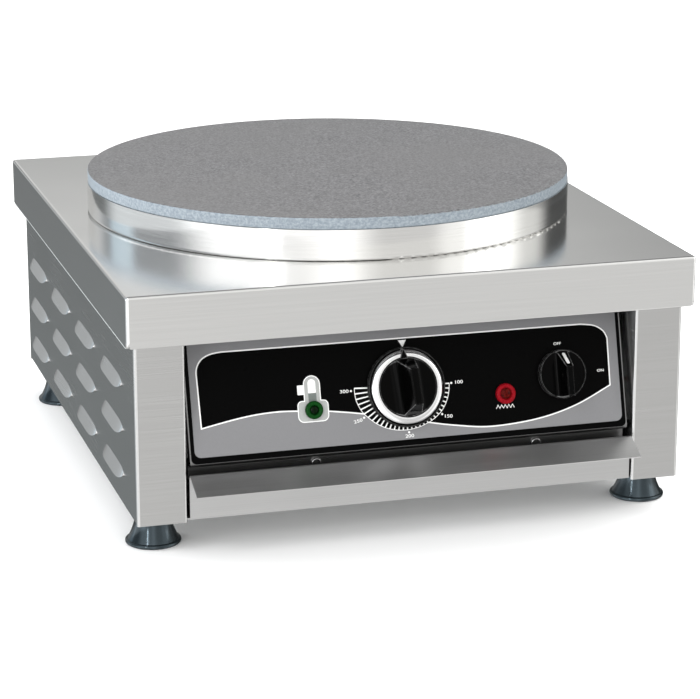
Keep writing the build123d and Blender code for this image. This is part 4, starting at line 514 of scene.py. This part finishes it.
def panel_label():
    """Grey label with a black field, wavy below, inside a white line."""
    label = rounded(-LABEL_HALF, LABEL_HALF, 0.0, LABEL_HEIGHT, (LABEL_CORNER, LABEL_CORNER, 0, 0))
    bm = bmesh.new()
    prism(bm, label, GREY_LAYER)
    finish_piece("panel_grey_print", bm, GREY_FILM)

    field = curve_through(WAVE) + [RIGHT_SIDE]
    field += curve_through(RIGHT_CORNER, CORNER_STEPS) + curve_through(LEFT_CORNER, CORNER_STEPS)
    bm = bmesh.new()
    prism(bm, field, FIELD_LAYER)
    finish_piece("panel_black_field", bm, BLACK_FILM)

    bm = bmesh.new()
    stroke(bm, field, FIELD_LINE_WIDTH, FIELD_LINE_LAYER, closed=True)
    finish_piece("panel_field_outline", bm, WHITE_PRINT)


panel_label()

# ------------------------------------------------------------------ dial scale
# angles are in degrees from the right, anticlockwise
SCALE_START, SCALE_END = 177, 360
TICKS, TICK_STEP, TICK_WIDTH = 31, 6.1, 1.0
SCALE_LINE_WIDTH = 0.5
SCALE_INNER = 30.2
SCALE_OUTER = [  # angle and radius
    (176, 41.0), (190, 40.8), (203, 39.7), (216, 37.6), (231, 35.9), (247, 34.3), (263, 33.2),
    (280, 32.7), (297, 33.0), (311, 33.8), (324, 34.6), (342, 35.0), (364, 35.3),
]
DOTS = [(-47.0, 40.8), (-38.1, 19.6), (-3.1, 5.5), (24.5, 17.2), (33.7, 40.6)]
DOT_RADIUS, DOT_SIDES = 0.85, 16
INDEX_MARK = [(-6.6, 76.6), (-3.4, 71.0), (-0.2, 76.6)]


def outer_radius(angle):
    """Radius of the scale's outer edge at an angle."""
    for (a0, r0), (a1, r1) in zip(SCALE_OUTER, SCALE_OUTER[1:]):
        if angle <= a1:
            return r0 + (r1 - r0) * (angle - a0) / (a1 - a0)
    return SCALE_OUTER[-1][1]


def polar(radius, angle):
    """Point at a radius and angle from the dial's axis."""
    a = math.radians(angle)
    return (DIAL[0] + radius * math.cos(a), DIAL[1] + radius * math.sin(a))


def dial_scale():
    """Crescent round the dial's lower half, with ticks, an outer line and dots, and the index above."""
    half_step = TICK_STEP / 2
    half_steps = range(2 * TICKS - 1)
    outer = [polar(outer_radius(a), a) for a in [SCALE_START + half_step * i for i in half_steps]]
    inner = [polar(SCALE_INNER, a) for a in [SCALE_END - half_step * i for i in half_steps]]
    bm = bmesh.new()
    prism(bm, outer + inner, SHAPE_LAYER)
    finish_piece("dial_scale_black", bm, BLACK_FILM)

    bm = bmesh.new()
    for angle in [SCALE_START + TICK_STEP * i for i in range(TICKS)]:
        stroke(bm, [polar(SCALE_INNER, angle), polar(outer_radius(angle), angle)], TICK_WIDTH, TICK_LAYER)
    finish_piece("dial_scale_ticks", bm, WHITE_PRINT)

    bm = bmesh.new()
    stroke(bm, outer, SCALE_LINE_WIDTH, SCALE_LINE_LAYER)
    finish_piece("dial_scale_edge", bm, WHITE_PRINT)

    bm = bmesh.new()
    for dot in DOTS:
        prism(bm, arc(dot, DOT_RADIUS, 0, 360 - 360 / DOT_SIDES, DOT_SIDES - 1), LINE_LAYER)
    finish_piece("dial_scale_dots", bm, WHITE_PRINT)

    bm = bmesh.new()
    prism(bm, INDEX_MARK, MARK_LAYER)
    finish_piece("dial_index_mark", bm, WHITE_PRINT)


dial_scale()

# ------------------------------------------------------------------ numbers and words
SIZE_FOR_HEIGHT = 1.42  # font size over the height of its capitals and numbers
WORD_HALF_THICKNESS = 0.03
WORD_FATTENING = 0.02
SAME_POINT = 1e-7  # m


def word(name, body, x, y, height, turn, stretch):
    """Printed word or number, centred, as a mesh with some thickness."""
    curve = bpy.data.curves.new(name, "FONT")
    curve.body = body
    curve.size = height * MM * SIZE_FOR_HEIGHT
    curve.align_x = "CENTER"
    curve.align_y = "CENTER"
    curve.extrude = WORD_HALF_THICKNESS * MM
    curve.offset = WORD_FATTENING * MM
    obj = new_object(name, curve)
    mesh = bpy.data.meshes.new_from_object(obj.evaluated_get(bpy.context.evaluated_depsgraph_get()))
    bpy.data.objects.remove(obj)
    mesh.transform(Matrix.Diagonal((stretch, 1, 1, 1)))
    mesh.transform(Matrix.Rotation(math.radians(turn), 4, "Z"))
    mesh.transform(Matrix.Translation((x * MM, y * MM, WORD_LEVEL * MM)))
    bm = bmesh.new()
    bm.from_mesh(mesh)
    bmesh.ops.remove_doubles(bm, verts=bm.verts[:], dist=SAME_POINT)
    bpy.data.meshes.remove(mesh)
    finish_piece(name, bm, WHITE_PRINT)


# name, word, centre, height, turn in degrees, widening
WORDS = [
    ("dial_number_300", "300", -52.4, 40.8, 2.5, 0, 1.35),
    ("dial_number_250", "250", -43.0, 17.4, 2.5, 12, 1.35),
    ("dial_number_200", "200", -2.8, 2.6, 2.5, 0, 1.35),
    ("dial_number_150", "150", 29.3, 15.2, 2.5, -4, 1.35),
    ("dial_number_100", "100", 39.6, 40.8, 2.5, 0, 1.35),
    ("power_word_off", "OFF", 122.6, 64.2, 2.0, 0, 1.3),
    ("power_word_on", "ON", 156.9, 40.6, 2.0, 0, 1.3),
]
for row in WORDS:
    word(*row)


# ------------------------------------------------------------------ heating and thermometer signs
def heating_sign():
    """Zigzag under the red lamp."""
    left, foot, width, height = 68.8, 17.6, 14.8, 2.7
    teeth, line_width = 5, 0.4
    slopes = 2 * teeth
    zigzag = [(left + width * i / slopes, foot + (height if i % 2 else 0.0)) for i in range(slopes + 1)]
    bm = bmesh.new()
    stroke(bm, zigzag, line_width, MARK_LAYER)
    finish_piece("heating_sign", bm, WHITE_PRINT)


def thermometer_sign():
    """Silver thermometer round the green lamp: a round-topped tube on a wide foot, with a flag beside it."""
    line_width = 0.7
    tube_right, tube_left = (-71.4, 36.0), (-84.0, 36.0)
    tube_top = arc((-77.7, 48.6), 6.3, 0, 180, 14)
    left_side = arc((-86.2, 32.6), 3.4, 90, 180, 6) + arc((-85.2, 24.4), 4.4, 180, 270, 6)
    right_side = arc((-70.2, 24.4), 4.4, 270, 360, 6) + arc((-69.2, 32.4), 3.4, 0, 90, 6)
    sign = [tube_right] + tube_top + [tube_left] + left_side + right_side
    flag = rounded(-89.2, -84.2, 41.0, 48.3, (0.6, 0, 0, 0.6))
    tube_empty = rounded(-80.8, -74.7, 41.8, 52.4, (0, 0, 3.0, 3.0))
    tube_filled = rounded(-80.8, -74.5, 35.0, 41.7, (0, 0, 0, 0))
    bm = bmesh.new()
    prism(bm, sign, SHAPE_LAYER)
    finish_piece("thermometer_sign_body", bm, SILVER_PRINT)

    bm = bmesh.new()
    stroke(bm, sign, line_width, LINE_LAYER, closed=True)
    prism(bm, flag, FLAG_LAYER)
    prism(bm, tube_empty, BLOCK_LAYER)
    finish_piece("thermometer_sign_white", bm, WHITE_PRINT)

    bm = bmesh.new()
    prism(bm, tube_filled, BLOCK_LAYER)
    finish_piece("thermometer_sign_grey", bm, SHADE_PRINT)


heating_sign()
thermometer_sign()

# ------------------------------------------------------------------ floor
FLOOR_HALF = 30  # m
floor_corners = [(x * FLOOR_HALF, y * FLOOR_HALF, 0) for x, y in ((-1, -1), (1, -1), (1, 1), (-1, 1))]
floor_mesh = bpy.data.meshes.new("floor")
floor_mesh.from_pydata(floor_corners, [], [(0, 1, 2, 3)])
floor = new_object("floor", floor_mesh)
floor_mesh.materials.append(Mat("floor_paint", (0.94, 0.94, 0.94), 0.9, Specular_IOR_Level=0.0).mat)
floor.visible_glossy = False

# ------------------------------------------------------------------ studio: soft cards on the sky
# azimuth from the front to the right, half width, softness of the sides,
# lowest and highest elevation, softness above and below, colour that the card adds
CARDS = [
    (0, 180, 1, -90, 90, 1, (0.16, 0.162, 0.162)),           # all round
    (-42, 24, 30, -70, 60, 20, (1.12, 1.12, 1.12)),          # front left
    (15, 23, 14, -70, 60, 20, (0.58, 0.575, 0.565)),         # front
    (14, 30, 16, 8, 40, 8, (0.24, 0.24, 0.23)),              # front, over the horizon
    (63, 8, 23, -70, 60, 20, (1.12, 1.12, 1.10)),            # front right
    (87, 9, 20, -60, 50, 20, (0.35, 0.35, 0.34)),            # right
    (88, 12, 14, 9, 40, 8, (0.45, 0.45, 0.44)),              # right, over the horizon
    (132, 12, 14, -60, 50, 20, (-0.075, -0.075, -0.075)),    # back right, shade
    (-105, 28, 18, -60, -4, 8, (0.55, 0.58, 0.60)),          # left, under the horizon
    (-100, 50, 20, 0, 60, 10, (0.17, 0.19, 0.21)),           # left, over the horizon
    (-131, 6, 8, 4, 40, 8, (0.40, 0.52, 0.60)),              # back left, bluish
    (-92, 30, 16, -8, 7, 4, (1.25, 1.25, 1.25)),             # left, along the horizon
    (-157, 10, 12, -5, 4, 5, (0.34, 0.35, 0.35)),            # back, along the horizon
    (-165, 35, 25, -90, -19, 14, (0.06, 0.075, 0.078)),      # back, under the horizon
    (-178, 16, 20, 13.6, 34, 4, (0.62, 0.62, 0.61)),         # back, over the horizon
    (0, 180, 1, 48, 90, 20, (0.16, 0.16, 0.16)),             # overhead
]


def fade(sky, value, full, gone):
    """1 up to full, smoothly down to 0 at gone."""
    return sky.span(value, 1, 0, full, gone, interpolation_type="SMOOTHSTEP")


def studio_world():
    """World whose colour is the sum of the cards."""
    world = bpy.data.worlds.new("studio")
    bpy.context.scene.world = world
    sky = Nodes(world)
    coord = sky.add("ShaderNodeTexCoord")
    way = sky.add("ShaderNodeSeparateXYZ")
    sky.link(coord.outputs["Generated"], way.inputs[0])
    degrees = 180 / math.pi
    turn = sky.math("ARCTAN2", way.outputs["X"], sky.math("MULTIPLY", way.outputs["Y"], -1))
    azimuth = sky.math("MULTIPLY", turn, degrees)
    elevation = sky.math("MULTIPLY", sky.math("ARCSINE", way.outputs["Z"]), degrees)
    total = None
    for card_azimuth, half, soft, low, high, soft_ends, colour in CARDS:
        off = sky.math("SUBTRACT", azimuth, card_azimuth)
        aside = sky.math("ABSOLUTE", sky.math("WRAP", off, 180, -180))
        height = sky.math("ABSOLUTE", sky.math("SUBTRACT", elevation, (low + high) / 2))
        half_height = (high - low) / 2
        factor = sky.math("MULTIPLY", fade(sky, aside, half, half + soft),
                          fade(sky, height, half_height, half_height + soft_ends))
        card = sky.add("ShaderNodeVectorMath", operation="SCALE")
        card.inputs[0].default_value = colour
        sky.link(factor, card.inputs["Scale"])
        if total is None:
            total = card.outputs[0]
        else:
            both = sky.add("ShaderNodeVectorMath", operation="ADD")
            sky.link(total, both.inputs[0])
            sky.link(card.outputs[0], both.inputs[1])
            total = both.outputs[0]
    background = sky.add("ShaderNodeBackground")
    sky.link(total, background.inputs["Color"])
    out = sky.add("ShaderNodeOutputWorld")
    sky.link(background.outputs[0], out.inputs["Surface"])


studio_world()


# ------------------------------------------------------------------ lamps
def lamp(name, kind, power, turn):
    """Lamp turned by a quaternion, which shows in no reflection."""
    light = bpy.data.lights.new(name, kind)
    light.energy = power
    obj = new_object(name, light)
    obj.rotation_mode = "QUATERNION"
    obj.rotation_quaternion = turn
    obj.visible_glossy = False
    return obj


def sun(name, azimuth, elevation, angle, strength):
    """Very soft key light. Azimuth runs from the front to the right; all angles are in degrees."""
    a, e = math.radians(azimuth), math.radians(elevation)
    away = Vector((math.sin(a) * math.cos(e), -math.cos(a) * math.cos(e), math.sin(e)))
    obj = lamp(name, "SUN", strength, away.to_track_quat("Z", "Y"))
    obj.data.angle = math.radians(angle)


def area(name, place, target, size, power):
    """Large soft round lamp aimed at a target."""
    obj = lamp(name, "AREA", power, (Vector(target) - Vector(place)).to_track_quat("-Z", "Y"))
    obj.data.shape = "DISK"
    obj.data.size = size
    obj.location = place
    obj.visible_camera = False
    return obj


STRIP_AIM = (0, -0.25, 0.15)
STRIP_DISTANCE = 1.5
STRIP_LOW, STRIP_HIGH = 0.25, 1.1


def strip(name, azimuth, width, power):
    """Upright lamp that shows in reflections, as an upright highlight."""
    a = math.radians(azimuth)
    place = Vector((math.sin(a) * STRIP_DISTANCE, -math.cos(a) * STRIP_DISTANCE + STRIP_AIM[1],
                    (STRIP_LOW + STRIP_HIGH) / 2))
    obj = area(name, place, STRIP_AIM, width, power)
    obj.data.shape = "RECTANGLE"
    obj.data.size_y = STRIP_HIGH - STRIP_LOW
    obj.visible_glossy = True


sun("key_above", 147, 52, 54, 3.0)
area("fill_front_left", (-0.75, -0.75, 0.95), (-0.05, -0.1, 0.24), 0.5, 3.0)
area("fill_left", (-1.15, 0.25, 0.55), (-0.1, 0, 0.2), 0.6, 6.0)
area("fill_right", (1.15, 0.1, 0.55), (0.1, 0, 0.2), 0.6, 4.0)
strip("strip_left", -48, 0.05, 4.0)
strip("strip_right", 66, 0.5, 1.6)

# ------------------------------------------------------------------ camera at the photograph's viewpoint
PHOTO_WIDTH, FOCAL_LENGTH = 700, 2658.89  # pixels
SENSOR_WIDTH = 36.0
CAMERA_PLACE = (-0.58998, -2.09932 + PLATE_Y * MM, 0.70244)
YAW, PITCH = 0.28255, 0.27845  # radians to the right and down

camera_data = bpy.data.cameras.new("camera")
camera = new_object("camera", camera_data)
camera_data.sensor_width = SENSOR_WIDTH
camera_data.lens = FOCAL_LENGTH / PHOTO_WIDTH * SENSOR_WIDTH
camera_data.clip_start = 0.05
camera_data.clip_end = 100.0
camera.location = CAMERA_PLACE
forward = Vector((math.sin(YAW) * math.cos(PITCH), math.cos(YAW) * math.cos(PITCH), -math.sin(PITCH)))
camera.rotation_mode = "QUATERNION"
camera.rotation_quaternion = forward.to_track_quat("-Z", "Y")
bpy.context.scene.camera = camera
bpy.context.scene.view_settings.view_transform = "Standard"
bpy.context.scene.view_settings.look = "None"
